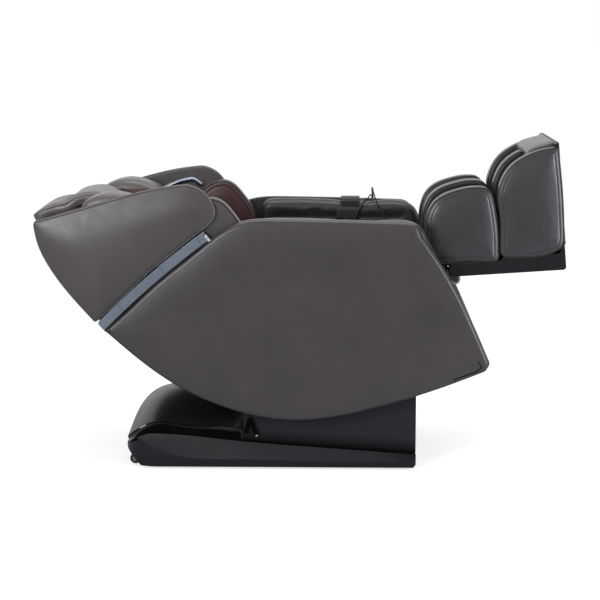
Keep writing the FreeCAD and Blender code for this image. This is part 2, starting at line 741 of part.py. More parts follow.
def dome_solid(grow):
    """The dome's outer shape, moved outwards; its foot and its front end move out in any case."""
    sections = []
    last = len(DOME_SECTIONS) - 1
    for i, (x, move_in, lip, crown) in enumerate(DOME_SECTIONS):
        shift = -grow if i == last else 0.0
        if i == 0 and grow:
            shift = 1.0
        sections.append(dome_section(x + shift, move_in, lip, crown, grow))
    return Part.makeLoft(sections, True, False)


def rear_dome():
    return dome_solid(0).cut(dome_solid(-BASE_WALL))


def line_cut(line, start, y):
    """The outline of all that lies above a line of points, at one Y."""
    wire = outline(start, line, (BASE_FRONT + 1, CUT_HIGH), (start[0], CUT_HIGH))
    wire.translate(V(0, y, 0))
    return wire


def base_plan():
    """The base seen from above: wide round corners at the rear, small ones at the front."""
    plan = box(BASE_REAR, BASE_FRONT, -BASE_HALF, BASE_HALF, 0, CUT_HIGH)
    upright = [e for e in plan.Edges if e.BoundBox.ZLength > CUT_HIGH / 2]
    rear = [e for e in upright if e.BoundBox.XMin < 0]
    plan = plan.makeFillet(SKIRT_REAR_ROUND, rear)
    front = [e for e in plan.Edges if e.BoundBox.XMin > BASE_FRONT - 1 and e.BoundBox.ZLength > CUT_HIGH / 2]
    return plan.makeFillet(SKIRT_FRONT_ROUND, front)


def base_skirt():
    """A low moulded ring: upright sides, a shoulder that leans in to a crease, and an open middle."""
    side = outline(
        SKIRT_HEEL, SKIRT_TAIL, SKIRT_BACK, CREASE_LINE,
        (BASE_FRONT, BASE_LIFT + SKIRT_TOE), (BASE_FRONT - SKIRT_TOE, BASE_LIFT),
    )
    skirt = slab(side, -BASE_HALF, BASE_HALF).common(base_plan())
    shoulder = line_cut(SHOULDER_LINE, SHOULDER_START, BASE_HALF)
    crease = line_cut(CREASE_LINE, SKIRT_BACK, BASE_HALF - CREASE_INSET)
    wedge = Part.makeLoft([shoulder, crease], True, True)
    skirt = skirt.cut(wedge).cut(sided(wedge, -1))
    half = TOWER_HALF + GROOVE_WIDTH
    opening = box(SKIRT_OPEN_REAR, BASE_FRONT - GROOVE_WIDTH, -half, half, -1, CUT_HIGH)
    corners = [e for e in opening.Edges if e.BoundBox.ZLength > CUT_HIGH / 2 and e.BoundBox.XMin < 0]
    opening = opening.makeFillet(SKIRT_REAR_ROUND - GROOVE_WIDTH, corners)
    far = WHEEL_Y + WHEEL_WIDTH / 2 + WELL_ROOM
    well = across((WHEEL_X, WHEEL_Z), WHEEL_Y - WHEEL_WIDTH, far, WHEEL_RADIUS + WELL_ROOM)
    return skirt.cut(opening).cut(dome_solid(GAP)).cut(both(well))


def tower_cover():
    """The shroud around the posts and the tilt actuator, open below, with slots for what comes out of it."""
    low = TOWER_FOOT
    sides = TOWER_TOP + [(BASE_FRONT, low), (TOWER_REAR, low)]
    deep = TOWER_TOP + [(BASE_FRONT, low - 2 * BASE_WALL), (TOWER_REAR, low - 2 * BASE_WALL)]
    half = TOWER_HALF - BASE_WALL
    cover = block(sides, -TOWER_HALF, TOWER_HALF, TOWER_ROUND)
    cover = cover.cut(block(inset(deep, BASE_WALL), -half, half))
    crank_reach = PIVOT[0] + CRANK_LENGTH
    cover = cover.cut(box(TOWER_REAR - 1, crank_reach, -POST_WIDTH, POST_WIDTH, low - 1, CUT_HIGH))
    toe = box(BASE_FRONT - GROOVE_WIDTH - GAP, BASE_FRONT + 1, -BASE_HALF, BASE_HALF, low - 1, TOWER_TOE)
    cover = cover.cut(toe)
    post = box(
        PIVOT[0] - POST_LONG - GAP, PIVOT[0] + POST_LONG + GAP, POST_HALF - POST_WIDTH - GAP, POST_HALF + GAP,
        TOWER_TOP[1][1], CUT_HIGH,
    )
    cover = cover.cut(both(post))
    return fused(cover, *pair(side_bracket()))


def side_bracket():
    """A small steel bracket with a pin, on the tower's side next to the dome."""
    place = slope(SIDE_BRACKET, 0)
    face = TOWER_HALF + BOX_WALL
    plate = block(on(place, BRACKET_OUTLINE), TOWER_HALF - 1, face, BRACKET_ROUND)
    return fused(plate, across(place(*BRACKET_PIN), TOWER_HALF - 1, face + BRACKET_ROUND, BRACKET_ROUND))


def post():
    """A pressed post, open outwards, with a bearing at its top."""
    low = FOOT_HEIGHT + FRAME_HIGH - BOX_WALL
    sides = [
        (PIVOT[0] - POST_LONG, low), (PIVOT[0] + POST_LONG, low),
        (PIVOT[0] + POST_CAP, PIVOT[1]), (PIVOT[0] - POST_CAP, PIVOT[1]),
    ]
    inner = POST_HALF - POST_WIDTH
    plate = rail(sides, inner, POST_HALF, BOX_WALL)
    return fused(plate, across(PIVOT, inner, POST_HALF, POST_CAP))


def wheel_fork():
    """An ear and an axle for a transport wheel."""
    z0 = FOOT_HEIGHT
    rear = FRAME_REAR + FRAME_TUBE
    sides = [
        (WHEEL_X - EAR_ROUND, WHEEL_Z - EAR_ROUND), (rear, z0), (rear, z0 + FRAME_HIGH),
        (WHEEL_X - EAR_ROUND, WHEEL_Z + EAR_ROUND),
    ]
    near = WHEEL_Y - WHEEL_WIDTH / 2 - GAP
    axle = across((WHEEL_X, WHEEL_Z), near - BOX_WALL, WHEEL_Y + WHEEL_WIDTH / 2, AXLE_RADIUS)
    return fused(block(sides, near - BOX_WALL, near, EAR_ROUND / 2), axle)


def floor_frame():
    """Two long channels with cross members, a pan, the pivot posts, wheel forks and an actuator bracket."""
    z0 = FOOT_HEIGHT
    z1 = z0 + FRAME_HIGH
    parts = []
    parts += pair(channel(FRAME_REAR, FRAME_FRONT, FRAME_HALF - FRAME_TUBE, FRAME_HALF, z0, z1, BOX_WALL))
    parts += pair(post())
    parts += pair(wheel_fork())
    skirt_inner = TOWER_HALF + GROOVE_WIDTH - SOFT_GAP
    for x, half in ((FRAME_REAR, WHEEL_Y), (PIVOT[0], skirt_inner), (FRAME_FRONT - FRAME_TUBE, skirt_inner)):
        parts.append(channel(x, x + FRAME_TUBE, -half, half, z0, z1, BOX_WALL))
    parts.append(box(FRAME_REAR, FRAME_FRONT, -FRAME_HALF, FRAME_HALF, z1, z1 + PAN_THICK))
    foot = tilt(0, 0)
    ear = [
        (foot[0] - 2 * EAR_ROUND, z1), (foot[0] + 2 * EAR_ROUND, z1),
        (foot[0] + EAR_ROUND, foot[1] + EAR_ROUND), (foot[0] - EAR_ROUND, foot[1] + EAR_ROUND),
    ]
    ear_y = TILT_TUBE + 3 * GAP
    parts += pair(block(ear, ear_y, ear_y + BOX_WALL, EAR_ROUND / 2))
    parts.append(across(foot, -ear_y - 1, ear_y + 1, CRANK_PIN))
    return fused(*parts).cut(across(PIVOT, -RAIL_HALF, RAIL_HALF, SHAFT_RADIUS + RUNNING_FIT))


def wheel():
    tyre = across((WHEEL_X, WHEEL_Z), WHEEL_Y - WHEEL_WIDTH / 2, WHEEL_Y + WHEEL_WIDTH / 2, WHEEL_RADIUS)
    rims = [e for e in tyre.Edges if e.Curve.TypeId == "Part::GeomCircle"]
    tyre = tyre.makeFillet(WHEEL_ROUND, rims)
    return tyre.cut(across((WHEEL_X, WHEEL_Z), 0, BASE_HALF, AXLE_RADIUS + RUNNING_FIT))


def rubber_feet():
    feet = []
    y = FRAME_HALF - FRAME_TUBE / 2
    for x in FEET_X:
        for sign in (1, -1):
            foot = Part.makeCone(FOOT_RADIUS, FOOT_RADIUS - 2, FOOT_HEIGHT - SOFT_GAP, V(x, sign * y, 0))
            feet.append(foot)
    return Part.makeCompound(feet)


def case(size):
    """A box with rounded upright corners and top, standing on the pan."""
    x0, x1, y0, y1, height = size
    z = FOOT_HEIGHT + FRAME_HIGH + PAN_THICK + SOFT_GAP
    body = box(x0, x1, y0, y1, z, z + height)
    return body.makeFillet(BOX_ROUND, [e for e in body.Edges if e.BoundBox.ZMax > z + 1])


def air_pump():
    """The pump's case with four outlet nozzles on top."""
    x0, x1, y0, y1, height = AIR_PUMP
    z = FOOT_HEIGHT + FRAME_HIGH + PAN_THICK + height
    nozzles = []
    for i in range(4):
        x = x0 + (i + 1) * (x1 - x0) / 5
        nozzles.append(Part.makeCylinder(NOZZLE_RADIUS, NOZZLE_HEIGHT, V(x, (y0 + y1) / 2, z - 1)))
    return fused(case(AIR_PUMP), *nozzles)


# The two actuators, each a body with an eye at its foot and a rod with an open eye

def actuator(place, radius, length, bore, bore_start, pin, motor_side):
    """A gear case, a motor beside the tube, and a tube that is open at its end for the rod."""
    start = pin + BOX_WALL
    side = motor_side * (radius + MOTOR_RADIUS + GAP)
    barrel = along(place(start + 1, 0), place(length, 0), 0, radius)
    motor = along(place(start + BOX_ROUND, side), place(MOTOR_LENGTH, side), 0, MOTOR_RADIUS)
    half = radius + GAP
    far = motor_side * (half + 2 * MOTOR_RADIUS + GAP)
    near = -motor_side * half
    gear = on(place, [
        (start, near), (start, far), (start + MOTOR_RADIUS, far), (start + 3 * MOTOR_RADIUS, near),
    ])
    tongue = link(place(0, 0), place(start + 2, 0), -EYE_HALF, EYE_HALF, pin + BOX_WALL)
    body = fused(barrel, motor, block(gear, -half, half, BOX_WALL), tongue)
    body = body.cut(across(place(0, 0), -radius, radius, pin + RUNNING_FIT))
    return body.cut(along(place(bore_start, 0), place(length + 1, 0), 0, bore + RUNNING_FIT))


def actuator_rod(place, radius, start, length, hole):
    """A round rod with a ring at its end, wider inside than the pin that it drives."""
    outer = hole + EYE_WALL
    rod = along(place(start, 0), place(length - hole - 1, 0), 0, radius)
    ring = across(place(length, 0), -EYE_HALF, EYE_HALF, outer)
    return fused(rod, ring).cut(across(place(length, 0), -2 * EYE_HALF, 2 * EYE_HALF, hole))


# Seat and back frame

def seat_frame():
    """Two bent channels with cross tubes, lugs for the leg rest and arms that carry the side shells."""
    low = SEAT_RAIL_TOP - RAIL_HIGH
    deep = BACK_RAIL_TOP - RAIL_HIGH
    points = [
        seat(RAIL_FRONT, SEAT_RAIL_TOP), seat(RAIL_FRONT, low), meet(low, deep),
        back(RAIL_BACK_END, deep), back(RAIL_BACK_END, BACK_RAIL_TOP), meet(SEAT_RAIL_TOP, BACK_RAIL_TOP),
    ]
    web = RAIL_HALF - RAIL_WIDTH
    parts = pair(rail(points, web, RAIL_HALF, RAIL_WALL))
    crosses = [seat(s, CROSS_DEEP) for s in CROSS_SEAT] + [back(t, CROSS_BACK_DEEP) for t in CROSS_BACK]
    parts += [across(p, -web - 1, web + 1, CROSS_RADIUS) for p in crosses]
    shell_face = SHELL_OUTER - SHELL_WALL - SOFT_GAP
    stubs = [(seat(s, CROSS_DEEP), shell_face) for s in OUTRIGGERS_SEAT]
    stubs += [(back(t, OUTRIGGER_DEEP), shell_face) for t in OUTRIGGERS_LOW]
    stubs += [(back(t, OUTRIGGER_DEEP), SHELL_INNER - SOFT_GAP) for t in OUTRIGGERS_HIGH]
    for point, reach in stubs:
        parts += pair(across(point, web + 1, reach, OUTRIGGER))
    parts += pair(link(crosses[1], LEG_HINGE, LUG_INNER, LUG_INNER + LUG_WIDTH, LUG_ROUND))
    parts.append(across(LEG_ACT_FOOT, -web - 1, web + 1, LEG_FOOT_PIN))
    frame = fused(*parts)
    for p in crosses:
        frame = frame.cut(across(p, -web, web, CROSS_RADIUS - CROSS_WALL))
    frame = frame.cut(across(PIVOT, -RAIL_HALF, RAIL_HALF, SHAFT_RADIUS + RUNNING_FIT))
    return frame.cut(across(LEG_HINGE, -LEG_HALF, LEG_HALF, HINGE_PIN + RUNNING_FIT))


def tilt_shaft():
    """The shaft that the seat frame turns on, with two crank plates and the pin that the rod pushes."""
    crank = link(PIVOT, CRANK_END, CRANK_HALF - CRANK_PLATE, CRANK_HALF, CRANK_WIDE)
    return fused(
        across(PIVOT, -RAIL_HALF, RAIL_HALF, SHAFT_RADIUS),
        *pair(crank),
        across(CRANK_END, -CRANK_HALF, CRANK_HALF, CRANK_PIN),
    )


# Massage carriage

def guide_tracks():
    """Two channels behind the back pad with their open sides to the middle, held by the cross tubes."""
    top = TRACK_LOW + TRACK_SIZE
    far = TRACK_Y + TRACK_SIZE
    sides = on(back, [(TRACK_START, TRACK_LOW), (TRACK_END, TRACK_LOW), (TRACK_END, top), (TRACK_START, top)])
    hollow = on(back, [
        (TRACK_START - 1, TRACK_LOW + TRACK_WALL), (TRACK_END + 1, TRACK_LOW + TRACK_WALL),
        (TRACK_END + 1, top - TRACK_WALL), (TRACK_START - 1, top - TRACK_WALL),
    ])
    parts = [block(sides, TRACK_Y, far).cut(block(hollow, TRACK_Y - 1, far - TRACK_WALL))]
    under = CROSS_BACK_DEEP - CROSS_RADIUS - SOFT_GAP
    for t in CROSS_BACK:
        low, high = t - TRACK_WALL, t + TRACK_WALL
        stand = on(back, [(low, top), (high, top), (high, under), (low, under)])
        parts.append(block(stand, TRACK_Y, far))
    return both(fused(*parts))


def carriage_frame():
    """A plate with a motor and a gear case, and bolted to it two cheeks with guide wheels in the tracks."""
    t0, t1 = CARRIAGE
    middle = TRACK_LOW + TRACK_SIZE / 2
    top = TRACK_LOW + TRACK_SIZE
    cheek = on(back, [
        (t0, middle - GUIDE_WHEEL), (t1, middle - GUIDE_WHEEL), (t1, top),
        (KNEAD[0] + 2 * KNEAD_RADIUS, KNEAD[1] + KNEAD_RADIUS), (KNEAD[0], KNEAD[1] + 2 * KNEAD_RADIUS),
        (KNEAD[0] - 2 * KNEAD_RADIUS, KNEAD[1] + KNEAD_RADIUS), (t0, top),
    ])
    parts = [block(cheek, CARRIAGE_HALF - CHEEK, CARRIAGE_HALF, KNEAD_RADIUS)]
    for t in (t0 + GUIDE_WHEEL, t1 - GUIDE_WHEEL):
        p = back(t, middle)
        parts.append(across(p, CARRIAGE_HALF - 1, TRACK_Y + GUIDE_START, GUIDE_AXLE))
        parts.append(across(p, TRACK_Y + GUIDE_START, TRACK_Y + GUIDE_START + GUIDE_WIDTH, GUIDE_WHEEL))
    bore = across(back(*KNEAD), -CARRIAGE_HALF - 1, CARRIAGE_HALF + 1, KNEAD_RADIUS + RUNNING_FIT)
    cheek = fused(*parts).cut(bore)
    plate = on(back, [(t0, top - CARRIAGE_PLATE), (t1, top - CARRIAGE_PLATE), (t1, top), (t0, top)])
    half = CARRIAGE_HALF - CHEEK - RUNNING_FIT
    motor = [back(t, CARRIAGE_MOTOR) for t in CARRIAGE_MOTOR_ENDS]
    gear = on(back, [
        (KNEAD[0] - GEAR_LONG, top - CARRIAGE_MOTOR), (KNEAD[0] + GEAR_LONG, top - CARRIAGE_MOTOR),
        (KNEAD[0] + GEAR_LONG, KNEAD[1] + GEAR_HIGH), (KNEAD[0] - GEAR_LONG, KNEAD[1] + GEAR_HIGH),
    ])
    middle_piece = fused(
        block(plate, -half, half), along(motor[0], motor[1], 0, CARRIAGE_MOTOR),
        block(gear, -GEAR_HALF, GEAR_HALF, KNEAD_RADIUS),
    )
    return Part.makeCompound([middle_piece.cut(bore)] + pair(cheek))


def knead_shaft():
    """The turning shaft with an eccentric beside each roller arm."""
    lobe = across(back(KNEAD[0] + LOBE_OFFSET, KNEAD[1]), LOBE_START, YOKE_Y - GAP, LOBE_RADIUS)
    far = CARRIAGE_HALF + BOX_WALL
    return fused(across(back(*KNEAD), -far, far, KNEAD_RADIUS), *pair(lobe))


def roller_arms():
    """Two rocking arms on the shaft, joined by a tie bar, with a pin for a roller at each end."""
    parts = []
    ends = [back(KNEAD[0] + sign * ROLLER_SPREAD, ROLLER_DEEP) for sign in (1, -1)]
    for end in ends:
        parts += pair(link(back(*KNEAD), end, YOKE_Y, YOKE_Y + YOKE_PLATE, YOKE_WIDE))
        parts += pair(across(end, YOKE_Y, YOKE_Y + YOKE_PLATE + GAP + ROLLER_WIDTH, ROLLER_PIN))
    parts.append(across(back(KNEAD[0] + TIE_OFFSET, KNEAD[1]), -YOKE_Y - 1, YOKE_Y + 1, ROLLER_PIN))
    return fused(*parts).cut(across(back(*KNEAD), -CARRIAGE_HALF, CARRIAGE_HALF, KNEAD_RADIUS + RUNNING_FIT))


def rollers(sign):
    """A pair of massage rollers with rounded treads."""
    point = back(KNEAD[0] + sign * ROLLER_SPREAD, ROLLER_DEEP)
    start = YOKE_Y + YOKE_PLATE + GAP
    roller = across(point, start, start + ROLLER_WIDTH, ROLLER_RADIUS)
    rims = [e for e in roller.Edges if e.Curve.TypeId == "Part::GeomCircle"]
    roller = roller.makeFillet(ROLLER_ROUND, rims)
    return both(roller.cut(across(point, start - 1, start + ROLLER_WIDTH + 1, ROLLER_PIN + RUNNING_FIT)))


# Upholstery

def seat_cushion():
    """The seat pad, crowned lengthwise and with two channels across it."""
    low = SEAT_SURFACE - SEAT_THICK
    front = SEAT_END
    points = on(seat, [
        (SEAT_START, low), (front, low), (front, low + SEAT_NOSE), (front - SEAT_NOSE, SEAT_SURFACE - CROWN),
        (0.6 * front, SEAT_SURFACE), (SEAT_START, SEAT_SURFACE - CROWN),
    ])
    return padded(points, -SEAT_HALF, SEAT_HALF, SEAT_RIM, PAD_ROUND)


def back_pad():
    low = BACK_SURFACE - BACK_THICK
    points = [back(BACK_START, low), back(BACK_START, BACK_SURFACE)] + BACK_TOP + BACK_TUCK
    points.append(back(BACK_LAP, low))
    return padded(points, -BACK_HALF, BACK_HALF, BACK_RIM, PAD_ROUND)


def head_pillow():
    return padded(PILLOW, -PILLOW_HALF, PILLOW_HALF, PILLOW_RIM, PILLOW_ROUND)


def shoulder_wing():
    points = WING + on(back, WING_FOOT) + WING_HEEL
    return padded(points, WING_INNER, WING_INNER + WING_WIDTH, SEAT_RIM, PAD_ROUND)


def wing_bars():
    bar = block(BAR, SHELL_INNER - SOFT_GAP - BAR_DEPTH, SHELL_INNER - SOFT_GAP, BAR_ROUND)
    return both(bar)


def arm_pod():
    return padded(POD, ARM_OUTER - POD_WIDTH, ARM_OUTER, POD_RIM, PAD_ROUND)


def arm_pad():
    return padded(ARM, ARM_OUTER - ARM_WIDTH, ARM_OUTER, ARM_RIM, PAD_ROUND)


# Leg rest

def leg_frame():
    """The hinge tube with its pins, a stepped plate, sleeves for the foot unit's rods and a clevis."""
    high = PLATE_LOW + PLATE_THICK
    start, step, end = PLATE_START, PLATE_WIDE_START, PLATE_END
    wide = on(leg, [(step, PLATE_LOW), (end, PLATE_LOW), (end, high), (step, high)])
    neck = on(leg, [(start, PLATE_LOW), (step, PLATE_LOW), (step, high), (start, high)])
    web = on(leg, [(-HINGE_PIN, 0), (HINGE_PIN, -HINGE_PIN), (step, PLATE_LOW + 1), (0, PLATE_LOW + 1)])
    pin_at = leg(*LEG_PIN)
    clevis = on(leg, [
        (LEG_PIN[0] - CLEVIS_ROUND, PLATE_LOW + 1), (LEG_PIN[0] - CLEVIS_ROUND, LEG_PIN[1]),
        (LEG_PIN[0] + CLEVIS_ROUND, LEG_PIN[1]), (LEG_PIN[0] + CLEVIS_ROUND, PLATE_LOW + 1),
    ])
    parts = [
        across(LEG_HINGE, -HINGE_HALF, HINGE_HALF, HINGE_TUBE),
        across(LEG_HINGE, -LUG_INNER - LUG_WIDTH - BOX_WALL, LUG_INNER + LUG_WIDTH + BOX_WALL, HINGE_PIN),
        block(wide, -PLATE_HALF, PLATE_HALF),
        block(neck, -HINGE_HALF + GAP, HINGE_HALF - GAP),
        across(pin_at, -CLEVIS_Y - CLEVIS_PLATE, CLEVIS_Y + CLEVIS_PLATE, LEG_PIN_RADIUS),
    ]
    for share in WEB_SHARES:
        y = share * HINGE_HALF
        parts += pair(block(web, y, y + BOX_WALL))
    parts += pair(block(clevis, CLEVIS_Y, CLEVIS_Y + CLEVIS_PLATE))
    parts += pair(across(pin_at, CLEVIS_Y, CLEVIS_Y + CLEVIS_PLATE, CLEVIS_ROUND))
    half = ROD_RADIUS + BOX_WALL
    near, far = SLEEVE
    sleeve = on(leg, [(near, ROD_W - half), (far, ROD_W - half), (far, PLATE_LOW + 1), (near, PLATE_LOW + 1)])
    parts += pair(block(sleeve, ROD_Y - half, ROD_Y + half))
    frame = fused(*parts)
    for sign in (1, -1):
        bore = along(leg(near - 1, ROD_W), leg(far + 1, ROD_W), sign * ROD_Y, ROD_RADIUS + RUNNING_FIT)
        frame = frame.cut(bore)
    return frame


def calf_wall(y0, y1):
    return padded(on(leg, CALF_SIDE), y0, y1, CALF_RIM, CALF_ROUND)


def calf_pad():
    """The floors of the two calf channels."""
    high = CALF_FLOOR + CALF_PAD
    start, end = CALF_PAD_START, CALF_PAD_END
    points = on(leg, [(start, CALF_FLOOR), (end, CALF_FLOOR), (end, high), (start, high)])
    return both(padded(points, CALF_MIDDLE + GAP, LEG_HALF - CALF_WALL - GAP, CALF_RIM / 2, CALF_RIM))


def foot_shell():
    """The sole and the tray behind it: a bent cover, hollow, with a slot for the clevis and four bearings."""
    shell = block(on(leg, SOLE_PROFILE), -SOLE_HALF, SOLE_HALF, SOLE_ROUND)
    half = SOLE_HALF - SOLE_WALL
    shell = shell.cut(block(on(leg, SOLE_CAVITY), -half, half))
    low = SOLE_PROFILE[0][1] - 1
    slot = on(leg, [(0, low), (CLEVIS_SLOT, low), (CLEVIS_SLOT, ROD_W), (0, ROD_W)])
    shell = shell.cut(block(slot, -CLEVIS_GAP, CLEVIS_GAP))
    parts = [shell]
    for w in ROLLER_W:
        ear = on(leg, [
            (ROLLER_U - 2 * FOOT_SHAFT, w - 2 * FOOT_SHAFT), (SOLE_INNER, w - 2 * FOOT_SHAFT),
            (SOLE_INNER, w + 2 * FOOT_SHAFT), (ROLLER_U - 2 * FOOT_SHAFT, w + 2 * FOOT_SHAFT),
        ])
        parts += pair(block(ear, BEARING_Y, BEARING_Y + BEARING, FOOT_SHAFT))
    shell = fused(*parts)
    for w in ROLLER_W:
        shell = shell.cut(across(leg(ROLLER_U, w), -LEG_HALF, LEG_HALF, FOOT_SHAFT + RUNNING_FIT))
    return shell


def foot_wall():
    return padded(on(leg, FOOT_SIDE), LEG_HALF - FOOT_WALL, LEG_HALF, FOOT_RIM, FOOT_ROUND)


def foot_wall_middle():
    return padded(on(leg, FOOT_MIDDLE_SIDE), -FOOT_MIDDLE, FOOT_MIDDLE, FOOT_RIM, FOOT_ROUND / 2)


def toe_cover():
    half = LEG_HALF - FOOT_WALL - GAP
    return padded(on(leg, TOE_COVER), -half, half, TOE_RIM, TOE_ROUND)


def guide_rods():
    rods = []
    for sign in (1, -1):
        rods.append(along(leg(ROD_START, ROD_W), leg(ROD_END, ROD_W), sign * ROD_Y, ROD_RADIUS))
    return Part.makeCompound(rods)


def foot_roller(w):
    """A shaft with knobbly discs under each foot."""
    point = leg(ROLLER_U, w)
    far = BEARING_Y + BEARING - GAP
    parts = [across(point, -far, far, FOOT_SHAFT)]
    pitch = (BEARING_Y - FOOT_MIDDLE) / FOOT_DISCS
    for i in range(FOOT_DISCS):
        y = FOOT_MIDDLE + (i + 0.5) * pitch
        disc = across(point, y - FOOT_DISC_WIDTH / 2, y + FOOT_DISC_WIDTH / 2, FOOT_ROLLER)
        rims = [e for e in disc.Edges if e.Curve.TypeId == "Part::GeomCircle"]
        parts += pair(disc.makeFillet(FOOT_DISC_ROUND, rims))
    return fused(*parts)


# Remote, its pouch, its buttons and its cord

def remote():
    x0, x1, z0, z1 = REMOTE
    y0, y1 = REMOTE_Y
    body = box(x0, x1, y0, y1, z0, z1)
    body = body.makeFillet(REMOTE_ROUND, [e for e in body.Edges if e.BoundBox.YLength > y1 - y0 - 1])
    deep = BUTTON_HEIGHT + BUTTON_TRAVEL
    for name, x, z in BUTTONS:
        body = body.cut(across((x, z), y0 - 1, y0 + deep + SOFT_GAP, BUTTON_RADIUS + RUNNING_FIT))
    return body


def button(x, z):
    y0 = REMOTE_Y[0]
    return across((x, z), y0 - BUTTON_HEIGHT, y0 + BUTTON_HEIGHT, BUTTON_RADIUS)


def remote_pouch():
    """An open pocket on the arm's inner side, with a flap that lies over the arm's crest."""
    x0, x1 = POUCH_X
    y1 = ARM_INNER - SOFT_GAP
    y0 = REMOTE_Y[0] - POUCH_WALL - GAP
    z0 = REMOTE[2] - POUCH_WALL - SOFT_GAP
    pocket = box(x0, x1, y0, y1, z0, POUCH_TOP)
    wall = POUCH_WALL
    pocket = pocket.cut(box(x0 + wall, x1 - wall, y0 + wall, y1 - wall, z0 + wall, POUCH_TOP + 1))
    line = [(y1, POUCH_TOP)] + [(ARM_INNER + off, z) for off, z in FLAP]
    inner = beside(line, wall)
    inner.reverse()
    return fused(pocket, across_x(line + inner, x0, x1))


def cord_gland():
    x, z = GLAND
    body = Part.makeCylinder(GLAND_SIZE / 2, GLAND_LONG - GLAND_TIP, V(x, CORD_Y, z - GLAND_LONG))
    tip = Part.makeCone(GLAND_SIZE / 2, CORD_RADIUS + 1, GLAND_TIP, V(x, CORD_Y, z - GLAND_TIP))
    return fused(body, tip)


def remote_cord():
    curve = Part.BSplineCurve()
    curve.interpolate([V(x, SHELL_OUTER + out, z) for x, out, z in CORD_ROUTE])
    path = Part.Wire(curve.toShape())
    first, last = curve.FirstParameter, curve.LastParameter
    circle = Part.Wire(Part.Circle(curve.value(first), curve.tangent(first)[0], CORD_RADIUS).toShape())
    cord = path.makePipeShell([circle], True, False)
    steps = [first + (last - first) * i / CORD_STEPS for i in range(CORD_STEPS + 1)]
    bends = [curve.curvature(u) for u in steps]
    area = math.pi * CORD_RADIUS ** 2
    print("cord length", round(path.Length), "tightest bend", round(1 / max(bends), 1))
    print("cord volume over section times length", round(cord.Volume / (area * path.Length), 3))
    return cord


save_sides("lower_shell", lower_shell())
save_sides("upper_shell", upper_shell())
save("trim_strips", both(trim_strip()))
save("back_cover", back_cover())
save("front_cover", front_cover())
save("mains_panel", mains_panel())
save("power_switch", power_switch())

save("floor_frame", floor_frame())
save("base_skirt", base_skirt())
save("rear_dome", rear_dome())
save("tower_cover", tower_cover())
save("rubber_feet", rubber_feet())
save_sides("wheel", wheel())
save("control_box", case(CONTROL_BOX))
save("air_pump", air_pump())
save("tilt_motor", actuator(tilt, TILT_TUBE, TILT_BODY, TILT_ROD, TILT_BORE, CRANK_PIN, 1))
save("tilt_rod", actuator_rod(tilt, TILT_ROD, TILT_ROD_START, TILT_LENGTH, CRANK_PIN + TILT_OPEN))

save("seat_frame", seat_frame())
save("tilt_shaft", tilt_shaft())
save("leg_motor", actuator(push, LEG_TUBE, LEG_BODY, LEG_ROD, LEG_BORE, LEG_FOOT_PIN, -1))
save("leg_rod", actuator_rod(push, LEG_ROD, LEG_ROD_START, LEG_LENGTH, LEG_PIN_RADIUS + OPEN_PIVOT))
save("guide_tracks", guide_tracks())
save("carriage_frame", carriage_frame())
save("knead_shaft", knead_shaft())
save("roller_arms", roller_arms())
save("upper_rollers", rollers(1))
save("lower_rollers", rollers(-1))

save("seat_cushion", seat_cushion())
save("back_pad", back_pad())
save("head_pillow", head_pillow())
save_sides("shoulder_wing", shoulder_wing())
save("wing_bars", wing_bars())
save_sides("arm_pod", arm_pod())
save_sides("arm_pad", arm_pad())

save("leg_frame", leg_frame())
save_sides("calf_wall", calf_wall(LEG_HALF - CALF_WALL, LEG_HALF))
save("calf_wall_middle", calf_wall(-CALF_MIDDLE, CALF_MIDDLE))
save("calf_pad", calf_pad())
save("foot_shell", foot_shell())
save_sides("foot_wall", foot_wall())
save("foot_wall_middle", foot_wall_middle())
save("toe_cover", toe_cover())
save("guide_rods", guide_rods())
for name, w in zip(("foot_roller_low", "foot_roller_high"), ROLLER_W):
    save(name, foot_roller(w))

save("remote", remote())
for name, x, z in BUTTONS:
    save(name, button(x, z))
save("remote_pouch", remote_pouch())
save("cord_gland", cord_gland())
save("remote_cord", remote_cord())
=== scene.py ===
import math

import bmesh
import bpy
import numpy as np
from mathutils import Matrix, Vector, geometry, noise

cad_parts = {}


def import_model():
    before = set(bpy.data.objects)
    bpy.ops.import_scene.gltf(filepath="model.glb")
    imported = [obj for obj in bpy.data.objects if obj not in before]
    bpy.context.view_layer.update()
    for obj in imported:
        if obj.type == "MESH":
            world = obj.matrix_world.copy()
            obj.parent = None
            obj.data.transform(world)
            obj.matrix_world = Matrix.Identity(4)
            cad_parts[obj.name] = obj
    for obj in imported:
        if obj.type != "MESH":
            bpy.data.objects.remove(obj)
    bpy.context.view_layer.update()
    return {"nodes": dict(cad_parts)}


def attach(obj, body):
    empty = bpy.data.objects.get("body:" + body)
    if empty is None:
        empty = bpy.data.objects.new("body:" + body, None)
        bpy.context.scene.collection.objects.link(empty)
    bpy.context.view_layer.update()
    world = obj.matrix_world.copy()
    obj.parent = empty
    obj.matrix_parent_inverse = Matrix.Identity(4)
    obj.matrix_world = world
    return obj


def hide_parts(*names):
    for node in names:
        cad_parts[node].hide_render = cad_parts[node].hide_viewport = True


# A reclining massage chair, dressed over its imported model.
# Pieces are drawn in millimetres, and turned into metres when their mesh is made.
# The camera, the floor and the lamps are set in metres.
# +X points to the feet, +Z up, and the camera looks along +Y at the chair's right side.

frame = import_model()
MM = 0.001
SIDES = (("left", 1), ("right", -1))

# Distances from the chair's middle plane
SHELL_INNER = 330.0
SHELL_OUTER = 370.0
ARM_INNER = 263.6
ARM_OUTER = 329.6
LEG_HALF = 235.0


# Camera

CAMERA_FAR = 6.0
CAMERA_TILT = math.radians(9.5)
CAMERA_TURN = math.radians(1.2)
CAMERA_AIM = (-0.006, 0.0, 0.520)
CAMERA_LENS = 104.8
SENSOR_WIDTH = 36


